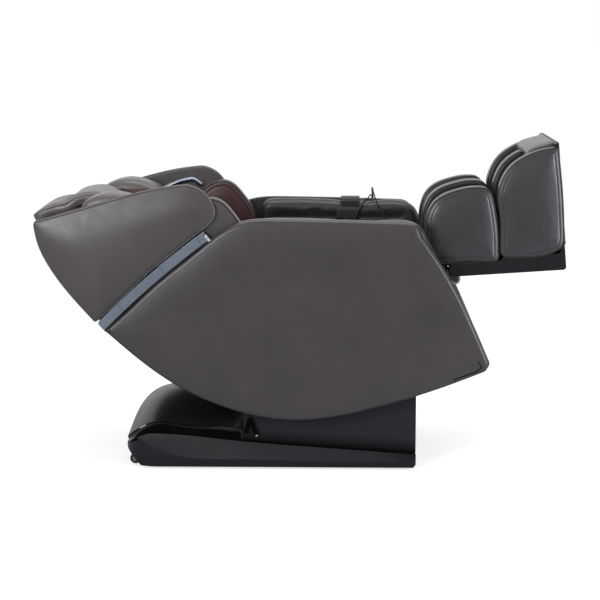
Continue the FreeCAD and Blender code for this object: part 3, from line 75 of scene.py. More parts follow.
def set_camera():
    """Far off, a little above and a little towards the feet, aimed at the chair's middle."""
    cam = bpy.data.objects.new("camera", bpy.data.cameras.new("camera"))
    bpy.context.scene.collection.objects.link(cam)
    level = CAMERA_FAR * math.cos(CAMERA_TILT)
    x, y, z = CAMERA_AIM
    cam.location = (
        level * math.sin(CAMERA_TURN) + x,
        -level * math.cos(CAMERA_TURN) + y,
        z + CAMERA_FAR * math.sin(CAMERA_TILT),
    )
    cam.rotation_euler = (math.pi / 2 - CAMERA_TILT, 0, CAMERA_TURN)
    cam.data.lens = CAMERA_LENS
    cam.data.sensor_width = SENSOR_WIDTH
    bpy.context.scene.camera = cam


set_camera()


# Materials

def node(tree, kind, inputs=None, **settings):
    n = tree.nodes.new("ShaderNode" + kind)
    for name, value in settings.items():
        setattr(n, name, value)
    for name, value in (inputs or {}).items():
        n.inputs[name].default_value = value
    return n


class Finish:
    """A material whose colour, roughness and bump come from nodes in the piece's own coordinates."""

    def __init__(self, name, colour, rough, metal=0.0, **sockets):
        self.material = bpy.data.materials.new(name)
        self.material.use_nodes = True
        self.tree = self.material.node_tree
        self.shader = self.tree.nodes["Principled BSDF"]
        self.colour = colour
        self.rough = rough
        self.shader.inputs["Base Color"].default_value = (*colour, 1)
        self.shader.inputs["Roughness"].default_value = rough
        self.shader.inputs["Metallic"].default_value = metal
        for socket, value in sockets.items():
            self.shader.inputs[socket.replace("_", " ")].default_value = value
        self.place = node(self.tree, "TexCoord").outputs["Object"]
        self.normal = None

    def link(self, a, b):
        self.tree.links.new(a, b)

    def turned(self, angle, stretch):
        """Coordinates turned about Y and stretched, for brush marks along a slope."""
        n = node(self.tree, "Mapping")
        n.inputs["Rotation"].default_value = (0, math.radians(angle), 0)
        n.inputs["Scale"].default_value = stretch
        self.link(self.place, n.inputs["Vector"])
        return n.outputs["Vector"]

    def cloud(self, scale, detail=3.0, where=None):
        """Soft noise."""
        n = node(self.tree, "TexNoise", {"Scale": scale, "Detail": detail, "Roughness": 0.5})
        self.link(where or self.place, n.inputs["Vector"])
        return n.outputs["Fac"]

    def creases(self, scale):
        """The distance from a net of fine lines."""
        n = node(self.tree, "TexVoronoi", {"Scale": scale}, feature="DISTANCE_TO_EDGE")
        self.link(self.place, n.inputs["Vector"])
        return n.outputs["Distance"]

    def ramp(self, source, low, high, a, b):
        """The source between low and high, turned into a number between a and b."""
        n = node(self.tree, "MapRange", {"From Min": low, "From Max": high, "To Min": a, "To Max": b})
        self.link(source, n.inputs["Value"])
        return n.outputs["Result"]

    def mottle(self, scale, spread):
        """The colour drifts between a darker and a lighter shade."""
        dark = [c * (1 - spread) for c in self.colour]
        light = [c * (1 + spread) for c in self.colour]
        n = node(self.tree, "Mix", data_type="RGBA")
        n.inputs["A"].default_value = (*dark, 1)
        n.inputs["B"].default_value = (*light, 1)
        self.link(self.ramp(self.cloud(scale, 4), 0.3, 0.7, 0, 1), n.inputs["Factor"])
        self.link(n.outputs["Result"], self.shader.inputs["Base Color"])
        return self

    def patchy(self, scale, spread):
        """The roughness drifts."""
        low, high = self.rough - spread, self.rough + spread
        self.link(self.ramp(self.cloud(scale, 5), 0.3, 0.7, low, high), self.shader.inputs["Roughness"])
        return self

    def bump(self, height, depth, strength):
        """Adds a relief, its depth in millimetres."""
        n = node(self.tree, "Bump", {"Strength": strength, "Distance": depth * MM})
        self.link(height, n.inputs["Height"])
        if self.normal:
            self.link(self.normal, n.inputs["Normal"])
        self.normal = n.outputs["Normal"]
        self.link(self.normal, self.shader.inputs["Normal"])
        return self


def leather(name, colour, rough=0.33, grain=1.0, **sockets):
    """Coated leather: a net of shallow creases, long soft unevenness, and drifting colour and gloss."""
    f = Finish(name, colour, rough, Specular_IOR_Level=0.45, **sockets)
    f.mottle(7, 0.10).patchy(30, 0.05)
    f.bump(f.cloud(9, 2), 0.7 * grain, 0.30)
    f.bump(f.ramp(f.creases(300), 0, 0.16, 0, 1), 0.07 * grain, 0.45)
    return f.material


def plastic(name, colour, rough=0.42, grain=0.04, **sockets):
    """Moulded plastic with a fine spark-eroded grain."""
    f = Finish(name, colour, rough, **sockets)
    f.mottle(4, 0.08).patchy(14, 0.04)
    f.bump(f.cloud(1400, 2), grain, 0.6)
    return f.material


# The tower's foot is darkened by painted shade along the groove, set by these numbers.
GROOVE_FALL = 0.0676  # how much the skirt's groove falls for each metre towards the feet
FOOT_SHADE = 0.05  # the tower's colour at its foot, as a share of the full colour
SHADE_HEIGHTS = (0.080, 0.122)  # metres above the floor, at x = 0, between which it turns full


def tower_plastic_painted_shade(colour):
    """Moulded plastic with painted shade: its colour darkens towards its foot, where the groove shades it."""
    f = Finish("tower_plastic_painted_shade", colour, 0.42, Specular_IOR_Level=0.08)
    f.patchy(14, 0.04)
    f.bump(f.cloud(1400, 2), 0.05, 0.6)
    apart = node(f.tree, "SeparateXYZ")
    f.link(f.place, apart.inputs[0])
    rise = node(f.tree, "Math", operation="MULTIPLY_ADD")
    rise.inputs[1].default_value = GROOVE_FALL
    f.link(apart.outputs["X"], rise.inputs[0])
    f.link(apart.outputs["Z"], rise.inputs[2])
    # Painted shade: the colour turns darker towards the tower's foot.
    shade = node(f.tree, "Mix", data_type="RGBA")
    shade.inputs["A"].default_value = (*(FOOT_SHADE * c for c in colour), 1)
    shade.inputs["B"].default_value = (*colour, 1)
    f.link(f.ramp(rise.outputs[0], *SHADE_HEIGHTS, 0, 1), shade.inputs["Factor"])
    f.link(shade.outputs["Result"], f.shader.inputs["Base Color"])
    return f.material


def painted(name, colour, rough=0.45):
    """Powder coat with a slight orange peel."""
    f = Finish(name, colour, rough)
    f.mottle(9, 0.12).patchy(30, 0.06)
    f.bump(f.cloud(420, 2), 0.08, 0.5)
    return f.material


def metal(name, colour, rough, angle=0.0, stretch=(30, 900, 900), depth=0.02):
    """Brushed or drawn metal, with its marks along a slope."""
    f = Finish(name, colour, rough, metal=1.0)
    where = f.turned(angle, stretch)
    marks = f.cloud(1.0, 3, where)
    f.mottle(12, 0.06)
    f.link(f.ramp(marks, 0.3, 0.7, rough - 0.08, rough + 0.08), f.shader.inputs["Roughness"])
    f.bump(marks, depth, 0.5)
    return f.material


def rubber(name, colour=(0.012, 0.012, 0.013), rough=0.75, **sockets):
    f = Finish(name, colour, rough, **sockets)
    f.mottle(30, 0.25).patchy(60, 0.08)
    f.bump(f.cloud(700, 3), 0.08, 0.6)
    return f.material


TAUPE = (0.033, 0.0265, 0.030)
M = {
    "shell": leather("shell_leather", TAUPE, 0.34),
    "upper": leather("upper_leather", (0.049, 0.041, 0.042), 0.37),
    "light": leather("pillow_leather", (0.092, 0.081, 0.079), 0.36),
    "seat": leather("seat_leather", (0.036, 0.029, 0.031), 0.40),
    "red": leather("pod_leather", (0.040, 0.012, 0.012), 0.38),
    "arm": leather("arm_leather", (0.019, 0.015, 0.016), 0.34),
    "leg": leather("leg_leather", (0.025, 0.020, 0.0235), 0.31, 0.3),
    "welt": leather("welt_leather", (0.013, 0.011, 0.012), 0.36, 0.5),
    "pale_welt": leather("pale_welt_leather", (0.120, 0.105, 0.100), 0.36, 0.5),
    # A near-black matt finish, used for the base groove's sheet of painted shade and for the real black bracket.
    "bracket_and_shade": rubber("painted_shade_and_bracket_black", (0.0015, 0.0015, 0.0020), 0.9, Specular_IOR_Level=0.04),
    "sole_edge": leather("sole_edge", (0.022, 0.007, 0.006), 0.36, 0.5),
    "thread": plastic("thread", (0.040, 0.034, 0.035), 0.6, 0.05),
    "strip": metal("strip_metal", (0.150, 0.175, 0.215), 0.32, 41, (14, 1400, 1400)),
    "cap": metal("strip_cap_metal", (0.42, 0.44, 0.48), 0.30),
    "bar": metal("bar_metal", (0.20, 0.225, 0.27), 0.24, 0, (40, 40, 40), 0.004),
    "base": plastic("base_plastic", (0.0040, 0.0045, 0.0075), 0.30, 0.03, Specular_IOR_Level=0.28),
    "dome": plastic("dome_plastic", (0.010, 0.0095, 0.011), 0.34, 0.03, Specular_IOR_Level=0.40),
    "tower": tower_plastic_painted_shade((0.021, 0.018, 0.023)),
    "cover": plastic("cover_plastic", (0.0040, 0.0042, 0.0055), 0.34, 0.05, Specular_IOR_Level=0.22),
    "small": plastic("small_plastic", (0.020, 0.020, 0.022), 0.40),
    "key": plastic("key_plastic", (0.16, 0.165, 0.17), 0.4),
    "paint": painted("frame_paint", (0.030, 0.031, 0.034)),
    "steel": metal("bare_steel", (0.42, 0.42, 0.41), 0.34),
    "motor": painted("motor_case", (0.055, 0.057, 0.060), 0.38),
    "tread": rubber("roller_rubber", (0.045, 0.040, 0.038), 0.55),
    "rubber": rubber("black_rubber"),
}


# Outlines

def spline(points, step=5.0):
    """Close-set points along the smoothest curve through a few."""
    p = np.array(points, float)
    t = np.r_[0, np.cumsum(np.linalg.norm(np.diff(p, axis=0), axis=1))]
    count = len(p)
    h = np.diff(t)
    a = np.eye(count)
    b = np.zeros_like(p)
    for i in range(1, count - 1):
        a[i, i - 1:i + 2] = h[i - 1], 2 * (h[i - 1] + h[i]), h[i]
        b[i] = 6 * ((p[i + 1] - p[i]) / h[i] - (p[i] - p[i - 1]) / h[i - 1])
    m = np.linalg.solve(a, b)
    u = np.linspace(0, t[-1], max(2, int(t[-1] / step) + 1))
    k = np.clip(np.searchsorted(t, u, side="right") - 1, 0, count - 2)
    left = (t[k + 1] - u)[:, None]
    right = (u - t[k])[:, None]
    w = h[k][:, None]
    return (
        (m[k] * left ** 3 + m[k + 1] * right ** 3) / (6 * w)
        + (p[k] / w - m[k] * w / 6) * left
        + (p[k + 1] / w - m[k + 1] * w / 6) * right
    )


def even(points, step, closed=True):
    """The same line with its points a step apart."""
    p = np.array(points, float)
    if closed:
        p = np.vstack([p, p[:1]])
    t = np.r_[0, np.cumsum(np.linalg.norm(np.diff(p, axis=0), axis=1))]
    count = max(8, round(t[-1] / step))
    u = np.linspace(0, t[-1], count + 1)[:-1] if closed else np.linspace(0, t[-1], count + 1)
    return np.stack([np.interp(u, t, p[:, i]) for i in range(p.shape[1])], axis=1)


def bell(step, width):
    """Weights of a bell curve three widths to either side, and how many there are on each side."""
    reach = int(3 * width / step) + 1
    weights = np.exp(-0.5 * (np.arange(-reach, reach + 1) * step / width) ** 2)
    weights /= weights.sum()
    return weights, reach


def soften(ring, step, width):
    """Rounds a closed line's corners."""
    weights, reach = bell(step, width)
    return sum(w * np.roll(ring, k - reach, axis=0) for k, w in enumerate(weights))


def outline(*sections, step=6.0, soft=8.0):
    """A closed outline from curves and straight runs, counterclockwise, with soft corners."""
    whole = []
    for section in sections:
        whole.extend(spline(section, step / 2).tolist())
    ring = even(whole, step / 2)
    if soft:
        ring = soften(ring, step / 2, soft)
    ring = even(ring, step)
    x, y = ring[:, 0], ring[:, 1]
    if np.sum(x * np.roll(y, -1) - y * np.roll(x, -1)) < 0:
        ring = ring[::-1]
    return ring


def inset(ring, distance):
    """The outline moved inwards."""
    run = np.roll(ring, -1, axis=0) - np.roll(ring, 1, axis=0)
    run /= np.linalg.norm(run, axis=1)[:, None]
    return ring + np.stack([-run[:, 1], run[:, 0]], axis=1) * distance


def depth(points, line, closed=True):
    """How far each point is from a line."""
    start = line if closed else line[:-1]
    ahead = np.roll(line, -1, axis=0) - line if closed else np.diff(line, axis=0)
    off = points[:, None] - start[None]
    along = np.clip((off * ahead).sum(axis=2) / (ahead ** 2).sum(axis=1), 0, 1)
    return np.linalg.norm(off - along[:, :, None] * ahead, axis=2).min(axis=1)


def bent(points, step=6.0, width=16.0):
    """An open line with its corners rounded."""
    line = even(points, step, False)
    weights, reach = bell(step, width)
    long = np.vstack([2 * line[0] - line[reach:0:-1], line, 2 * line[-1] - line[-2:-reach - 2:-1]])
    return np.stack([np.convolve(long[:, i], weights, "valid") for i in (0, 1)], axis=1)


def inside(points, ring):
    """Which points lie within a closed line."""
    x, y = points[:, 0][:, None], points[:, 1][:, None]
    x0, y0 = ring[:, 0], ring[:, 1]
    x1, y1 = np.roll(x0, -1), np.roll(y0, -1)
    span = np.where(y1 == y0, 1e-9, y1 - y0)
    hit = ((y0 > y) != (y1 > y)) & (x < (x1 - x0) * (y - y0) / span + x0)
    return hit.sum(axis=1) % 2 == 1


def slope(origin, degrees):
    """Turns a distance along a sloping line and a height above it into x and z."""
    a = math.radians(degrees)

    def place(along, above):
        return (
            origin[0] + along * math.cos(a) - above * math.sin(a),
            origin[1] + along * math.sin(a) + above * math.cos(a),
        )

    return place


seat = slope((0, 0), 35.3)
leg = slope((470, 650), 3.8)


def back(along, above):
    return slope((0, 0), 137)(along, -above)


def on(place, points):
    """Points along and above a sloping line, as x and z."""
    return [place(a, b) for a, b in points]


# Meshes

WORKSHOP = bpy.data.scenes.new("workshop")


class Form:
    """Collects the corners, faces and materials of one piece."""

    def __init__(self):
        self.corners = []
        self.faces = []
        self.marks = []

    def add(self, points):
        first = len(self.corners)
        self.corners.extend(tuple(p) for p in points)
        return list(range(first, first + len(points)))

    def face(self, ids, mark):
        self.faces.append(ids)
        self.marks.append(mark)

    def band(self, a, b, mark, closed=True):
        """Quads between two rows of corners."""
        last = len(a) if closed else len(a) - 1
        for i in range(last):
            j = (i + 1) % len(a)
            self.face((a[i], a[j], b[j], b[i]), mark)

    def fill(self, ring, ids, place, mark, grid, near=(), seams=()):
        """A net of triangles inside a ring.

        place gives a corner from its point and its distances from the ring and from the nearest seam.
        """
        extra = []
        for d in near:
            row = inset(ring, d)
            row = row[inside(row, ring)]
            extra.append(row[depth(row, ring) > d - 0.2])
        start = (near[-1] if near else 0) + 0.6 * grid
        low, high = ring.min(axis=0), ring.max(axis=0)
        xs = np.arange(low[0] + grid / 2, high[0], grid)
        ys = np.arange(low[1] + grid / 2, high[1], grid * 0.87)
        net = np.array([(x + (grid / 2 if j % 2 else 0), y) for j, y in enumerate(ys) for x in xs])
        for line in seams:
            net = net[depth(net, line, False) > 0.75 * grid]
        net = np.vstack([net, *seams])
        net = net[inside(net, ring)]
        extra.append(net[depth(net, ring) > start])
        points = np.vstack([ring] + [e for e in extra if len(e)])
        edges = [(i, (i + 1) % len(ring)) for i in range(len(ring))]
        out = geometry.delaunay_2d_cdt([Vector(p) for p in points], edges, [], 1, 1e-5)
        flat = np.array([tuple(v) for v in out[0]])
        far = depth(flat, ring)
        sewn = np.min([np.full(len(flat), 1e9)] + [depth(flat, line, False) for line in seams], axis=0)
        index = []
        for v, d, s, sources in zip(flat, far, sewn, out[3]):
            known = [s for s in sources if s < len(ring)]
            index.append(ids[known[0]] if known else self.add([place(v[0], v[1], d, s)])[0])
        for f in out[2]:
            self.face(tuple(index[i] for i in f), mark)

    def tube(self, path, radius, mark, closed=True, sides=8):
        """A round cord along a line of points."""
        p = np.array(path, float)
        if closed:
            ahead = np.roll(p, -1, axis=0) - np.roll(p, 1, axis=0)
        else:
            ahead = np.gradient(p, axis=0)
        ahead /= np.linalg.norm(ahead, axis=1)[:, None]
        up = np.array([0.0, 1.0, 0.0]) if abs(ahead[0][1]) < 0.9 else np.array([1.0, 0, 0])
        rows = []
        for point, run in zip(p, ahead):
            side = np.cross(up, run)
            side /= np.linalg.norm(side)
            up = np.cross(run, side)
            ring = []
            for k in range(sides):
                a = 2 * math.pi * k / sides
                ring.append(point + radius * (math.cos(a) * side + math.sin(a) * up))
            rows.append(self.add(ring))
        for a, b in zip(rows, rows[1:] + ([rows[0]] if closed else [])):
            self.band(a, b, mark)
        if not closed:
            self.face(tuple(rows[0]), mark)
            self.face(tuple(reversed(rows[-1])), mark)

    def stitches(self, path, mark, pitch=6.0, length=4.0, radius=0.55):
        """Threads laid one after another along a closed line."""
        line = even(path, pitch)
        ahead = np.roll(line, -1, axis=0) - line
        for a, run in zip(line, ahead):
            run = run / max(np.linalg.norm(run), 1e-6)
            self.tube([a, a + 0.5 * length * run, a + length * run], radius, mark, False, 4)

    def mesh(self, name, flip=1):
        """The piece as a mesh in metres; flip -1 gives its mirror image across the chair."""
        mesh = bpy.data.meshes.new(name)
        points = [(x * MM, flip * y * MM, z * MM) for x, y, z in self.corners]
        mesh.from_pydata(points, [], self.faces)
        mesh.polygons.foreach_set("material_index", self.marks)
        tidy = bmesh.new()
        tidy.from_mesh(mesh)
        bmesh.ops.recalc_face_normals(tidy, faces=tidy.faces)
        tidy.to_mesh(mesh)
        tidy.free()
        return mesh

    def eased(self, values, pins, times):
        """Values at the corners, each drawn to the mean of its neighbours, except at the pins."""
        ends = np.array([(a, b) for f in self.faces for a, b in zip(f, f[1:] + f[:1])])
        a, b = np.r_[ends[:, 0], ends[:, 1]], np.r_[ends[:, 1], ends[:, 0]]
        count = np.bincount(a, minlength=len(values))[:, None]
        loose = np.ones((len(values), 1))
        loose[list(pins)] = 0
        for _ in range(times):
            mean = np.zeros_like(values)
            np.add.at(mean, a, values[b])
            values = values + 0.6 * loose * (mean / count - values)
        return values

    def inflate(self, pins, cap, grow, ease):
        """Blows the piece up as cloth held along its seams; no corner moves further than the cap."""
        body = bpy.data.objects.new("cloth", self.mesh("cloth"))
        WORKSHOP.collection.objects.link(body)
        body.vertex_groups.new(name="seams").add(sorted(set(pins)), 1.0, "REPLACE")
        modifier = body.modifiers.new("cloth", "CLOTH")
        cloth = modifier.settings
        cloth.vertex_group_mass = "seams"
        cloth.quality = 5
        cloth.mass = CLOTH_MASS
        cloth.use_pressure = True
        cloth.uniform_pressure_force = CLOTH_PRESSURE
        cloth.shrink_min = -grow
        cloth.bending_stiffness = 0.2
        cloth.effector_weights.gravity = 0
        modifier.collision_settings.use_collision = False
        modifier.point_cache.frame_start = 1
        modifier.point_cache.frame_end = CLOTH_FRAMES
        for step in range(1, CLOTH_FRAMES + 1):
            WORKSHOP.frame_set(step)
        shape = body.evaluated_get(WORKSHOP.view_layers[0].depsgraph).data
        after = np.empty(3 * len(self.corners))
        shape.vertices.foreach_get("co", after)
        before = np.array(self.corners)
        move = after.reshape(-1, 3) / MM - before
        far = np.linalg.norm(move, axis=1)
        move *= (np.minimum(far, cap) / np.maximum(far, 1e-9))[:, None]
        self.corners = [tuple(p) for p in before + self.eased(move, pins, ease)]
        mesh = body.data
        bpy.data.objects.remove(body)
        bpy.data.meshes.remove(mesh)

    def smooth(self):
        """One subdivision."""
        body = bpy.data.objects.new("smooth", self.mesh("smooth"))
        WORKSHOP.collection.objects.link(body)
        body.modifiers.new("smooth", "SUBSURF").levels = 1
        WORKSHOP.view_layers[0].update()
        shape = body.evaluated_get(WORKSHOP.view_layers[0].depsgraph).data
        self.corners = [tuple(c / MM for c in v.co) for v in shape.vertices]
        self.faces = [tuple(f.vertices) for f in shape.polygons]
        self.marks = [f.material_index for f in shape.polygons]
        mesh = body.data
        bpy.data.objects.remove(body)
        bpy.data.meshes.remove(mesh)

    def paint(self, mark, where):
        """Gives a material to the faces whose middle passes a test."""
        for i, f in enumerate(self.faces):
            if where(*np.mean([self.corners[k] for k in f], axis=0)):
                self.marks[i] = mark

    def make(self, name, materials, body, slot=None, stands_for=(), flip=1):
        """Puts the piece into the scene, on its body and in place of its nodes."""
        mesh = self.mesh(name, flip)
        for m in materials:
            mesh.materials.append(m)
        mesh.polygons.foreach_set("material_index", self.marks)
        mesh.polygons.foreach_set("use_smooth", [True] * len(self.faces))
        piece = bpy.data.objects.new(name, mesh)
        bpy.context.scene.collection.objects.link(piece)
        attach(piece, body)
        if stands_for:
            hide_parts(*stands_for)
        return piece

    def make_sides(self, name, materials, body, slot, node=None, fill=None):
        """The same piece on both sides of the chair."""
        for side, sign in SIDES:
            stands_for = [node + "_" + side] if node else []
            piece = self.make(name + "_" + side, materials, body, slot, stands_for, sign)


def dent(distance, middle, width, deep):
    """How far a line that is sewn down pulls the face in."""
    return -deep * math.exp(-(((distance - middle) / width) ** 2))


def swell(distance, reach, high):
    """How far a stuffed face stands out at a distance from its edge."""
    s = 1 - min(distance, reach) / reach
    return high * (1 - abs(s) ** 2.2)


def uneven(p, q, size, high):
    """Slow unevenness of a stuffed face."""
    return high * noise.noise(Vector((p / size, q / size, high)))


CORNER_STEPS = (0, 12, 24, 35, 45, 55, 66, 78, 90)  # degrees round an edge, from the face to the band
SEAM_STEP = 4  # the step on which the seam lies
NOTCH_WIDTH = 11  # degrees
UNEVEN_SIZE = 70
CLOTH_FRAMES = 20
CLOTH_PRESSURE = 4.0
CLOTH_MASS = 0.3


class Cushion:
    """Two stuffed faces with a band between them and a seam or a welt at each edge.

    The outline is in p and q, and the two faces lie at heights lo and hi above that plane.
    place turns p, q and a height into x, y and z. Faces blow up as cloth between their seams.
    Pairs say something of the near face (lo) and of the far face (hi):
    edges is the radius of the rounded edge, crown how far the face stands out at the reach from its edge,
    stitch how far a sewn row lies from the edge, and notch how deep the seam lies in the rounded edge.
    bulge is how far the band stands out. seams are lines in p and q along which one face (seam_side) is
    sewn down, to a depth of deep. rough is the height of the unevenness, and grid the size of the net.
    marks are the materials of the near face, the band and the far face, and firm lists faces that keep their shape.
    cap limits how far the cloth moves and grow how much it stretches; ease and calm count the passes
    that even out the movement, and the shape before it.
    """

    def __init__(self, ring, lo, hi, place, edges=(9, 9), crown=(3, 3), reach=45, bulge=1.5, stitch=(0, 0),
                 notch=(1.6, 1.6), grid=10.0, seams=(), seam_side=1, deep=5.0, rough=0.5, marks=(0, 0, 0),
                 firm=(), cap=6.0, grow=0.0, ease=4, calm=0):
        self.form = Form()
        self.ring = ring
        self.place = place
        self.levels = (lo, hi)
        self.edges = edges
        self.crown = crown
        self.reach = reach
        self.seams = [even(line, 5.0, False) for line in seams]
        self.seam_side = seam_side
        self.deep = deep
        self.rough = rough
        self.pins = []
        self.rows = []
        rows = [self.corner_row(0, step, notch[0]) for step in CORNER_STEPS]
        count = max(2, int((hi - lo - sum(edges)) / 9))
        for i in range(1, count):
            s = i / count
            height = lo + edges[0] + s * (hi - lo - sum(edges))
            rows.append(self.row(-bulge * math.sin(math.pi * s), height))
        rows += [self.corner_row(1, step, notch[1]) for step in reversed(CORNER_STEPS)]
        ids = [self.form.add(r) for r in rows]
        first = len(CORNER_STEPS)
        for i, (a, b) in enumerate(zip(ids, ids[1:])):
            mark = marks[0] if i < first // 2 else marks[2] if i >= len(ids) - 1 - first // 2 else marks[1]
            self.form.band(a, b, mark)
        self.pins += ids[SEAM_STEP] + ids[-1 - SEAM_STEP]
        self.band = [i for row in ids for i in row]
        for side, end in ((0, ids[0]), (1, ids[-1])):
            if side in firm:
                self.pins += end
            self.close(side, end, stitch[side], grid, marks[2 * side], side in firm)
        if calm:
            shape = self.form.eased(np.array(self.form.corners), self.pins + self.band, calm)
            self.form.corners = [tuple(p) for p in shape]
        if cap:
            self.form.inflate(self.pins, cap, grow, ease)
            self.form.smooth()

    def row(self, move_in, height):
        """The outline moved inwards, at a height."""
        return [self.place(p, q, height) for p, q in inset(self.ring, move_in)]

    def corner_at(self, side, degrees, dip=0.0):
        """Distance in from the outline, and height, round the corner from the face to the band."""
        a = math.radians(degrees)
        radius = self.edges[side] - dip
        move_in = self.edges[side] - radius * math.sin(a)
        up = self.edges[side] - radius * math.cos(a)
        return move_in, self.levels[side] + (up if side == 0 else -up)

    def corner_row(self, side, degrees, notch):
        """One row of the rounded edge, with the notch of its seam."""
        dip = notch * math.exp(-(((degrees - 45) / NOTCH_WIDTH) ** 2))
        return self.row(*self.corner_at(side, degrees, dip))

    def close(self, side, ids, stitch, grid, mark, firm):
        """Fills in a face, domed, sewn down along its seams and pressed in along its stitches."""
        ring = inset(self.ring, self.edges[side])
        out = 1 if side else -1
        near = [3.0]
        near += [stitch + s for s in (-2.5, 0, 2.5, 7)] if stitch else [8.0, 15.0]
        near = sorted(d for d in near if d > 1.5)
        seams = self.seams if side == self.seam_side else []

        def surface(p, q, d, sewn):
            h = swell(min(d, sewn), self.reach, self.crown[side]) + dent(sewn, 0, 4.0, self.deep)
            if stitch:
                h += dent(d, stitch, 1.6, 1.0)
            h += uneven(p, q, UNEVEN_SIZE, self.rough) * min(1, d / 20, sewn / 20)
            if firm or abs(d - stitch) < 0.3 or sewn < 1.0:
                self.pins.append(len(self.form.corners))
            return self.place(p, q, self.levels[side] + out * h)

        self.form.fill(ring, ids, surface, mark, grid, near, seams)
        if stitch:
            row = inset(ring, stitch)
            row = row[depth(row, ring) > stitch - 0.3]
            base = swell(stitch, self.reach, self.crown[side]) - 0.2
            self.rows.append([self.place(p, q, self.levels[side] + out * base) for p, q in row])

    def welt(self, side, mark, radius, rise=0.4):
        """Piping in the notch of an edge."""
        move_in, height = self.corner_at(side, 45, 0.6 - rise)
        self.form.tube(self.row(move_in, height), radius, mark)

    def sew(self, mark):
        """Threads along the sewn rows."""
        for row in self.rows:
            self.form.stitches(row, mark)


def upright():
    """An outline in x and z, with heights along Y."""
    return lambda p, q, r: (p, r, q)


def across(sloping):
    """An outline along a sloping line and across the chair, with heights above the line."""
    return lambda p, q, r: (sloping(p, r)[0], q, sloping(p, r)[1])


def curve_place(line, sign=1):
    """An outline along and across a curved line, with heights square to it."""
    line = np.array(line)
    t = np.r_[0, np.cumsum(np.linalg.norm(np.diff(line, axis=0), axis=1))]
    run = np.gradient(line, axis=0)
    run /= np.linalg.norm(run, axis=1)[:, None]

    def place(p, q, r):
        x, z = (np.interp(p, t, line[:, i]) for i in (0, 1))
        u, w = (np.interp(p, t, run[:, i]) for i in (0, 1))
        over = min(p, 0) + max(p - t[-1], 0)
        return (x + over * u - sign * r * w, q, z + over * w + sign * r * u)

    return place, t[-1]


def plan(p0, p1, q0, q1, radius, step=8.0):
    """A rectangle with round corners."""
    ring = []
    for cx, cy, start in ((p1, q1, 0), (p0, q1, 90), (p0, q0, 180), (p1, q0, 270)):
        sx = cx - math.copysign(radius, cx - (p0 + p1) / 2)
        sy = cy - math.copysign(radius, cy - (q0 + q1) / 2)
        for k in range(9):
            a = math.radians(start + 90 * k / 8)
            ring.append((sx + radius * math.cos(a), sy + radius * math.sin(a)))
    return even(ring, step)


# Cord of the remote

CORD_ROUTE = [
    (185, 248, 770.2), (186, 249, 786), (200, 254, 808), (220, 257, 832), (232, 268, 846), (238, 296, 850),
    (242, 328, 850), (246, 362, 844), (247, 380, 822), (240, 384, 778), (224, 385, 730), (208, 385, 686),
    (212, 385, 645), (240, 385, 622), (270, 385, 640), (280, 385, 685), (272, 385, 735), (258, 384, 785),
    (250, 382, 832), (246, 366, 864), (245, 336, 876), (247, 300, 874), (250, 272, 860), (258, 258, 836),
    (272, 256, 808), (288, 256, 784), (298, 256, 764), (300, 256, 745.2),
]


def make_cord():
    curve = bpy.data.curves.new("remote_lead", "CURVE")
    curve.dimensions = "3D"
    run = curve.splines.new("NURBS")
    run.points.add(len(CORD_ROUTE) - 1)
    for point, at in zip(run.points, CORD_ROUTE):
        point.co = (*(c * MM for c in at), 1)
    run.order_u = 3
    run.use_endpoint_u = True
    curve.bevel_depth = 0.0025
    curve.bevel_resolution = 4
    curve.resolution_u = 10
    curve.materials.append(M["rubber"])
    cord = bpy.data.objects.new("remote_lead", curve)
    bpy.context.scene.collection.objects.link(cord)
    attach(cord, "capsule")
    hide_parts("remote_cord")


make_cord()


# Side shells and the strip between them

BELLY = [(604, 345), (421, 275), (233, 219), (10, 180), (-211, 211), (-440, 318), (-630, 472)]


def lower_shells():
    """The large side panels, shaped without cloth."""
    ring = outline(
        [(-640, 474), (-562, 543), (-468, 631), (-348, 728), (-289, 776), (-246, 806), (-190, 832), (-94, 842)],
        [(-94, 842), (145, 838), (352, 832)],
        [(352, 832), (378, 820), (392, 788)],
        [(392, 789), (469, 677), (550, 526), (619, 370)],
        BELLY,
        soft=5,
    )
    shell = Cushion(ring, SHELL_INNER + 1, SHELL_OUTER - 6, upright(), (4, 17), (0, 5), 60, 0.0,
                    notch=(0, 0), grid=11, rough=0.4, cap=0, calm=14)
    shell.form.make_sides("lower_panel", [M["shell"]], "capsule", "shell_leather", "lower_shell")


def upper_shells():
    """The side panels beside the back and the head."""
    ring = outline(
        [(-665, 499), (-578, 577), (-491, 660), (-406, 730), (-315, 803)],
        [(-315, 803), (-285, 828), (-271, 852), (-275, 884), (-299, 921), (-328, 942), (-362, 953)],
        [(-362, 953), (-431, 945), (-535, 923), (-708, 873), (-855, 833)],
        [(-861, 824), (-850, 765), (-815, 687), (-750, 595), (-668, 502)],
        soft=5,
    )
    shell = Cushion(ring, SHELL_INNER, SHELL_OUTER - 20, upright(), (9, 11), (1, 18), 130, 0.0,
                    notch=(0, 1.2), grid=11, rough=0.8, firm=(0,), cap=3, calm=16)
    shell.welt(1, 1, 1.9, 0.5)
    materials = [M["upper"], M["pale_welt"]]
    shell.form.make_sides("upper_panel", materials, "capsule", "upper_leather", "upper_shell", 0.9)


def strip_caps():
    """The bright end of the trim strip, by the arm."""
    cap = Form()
    section = ((-12, 0), (-12, 1.6), (-10, 2.2), (10, 2.2), (12, 1.6), (12, 0))
    rows = []
    for x, z in ((-300, 777), (-292, 783)):
        rows.append(cap.add([(x + 0.62 * across, SHELL_OUTER - 4 + out, z - 0.78 * across)
                             for across, out in section]))
    cap.band(rows[0], rows[1], 0)
    for row in rows:
        cap.face(tuple(row), 0)
    cap.make_sides("strip_cap", [M["cap"]], "capsule", "bright_metal")


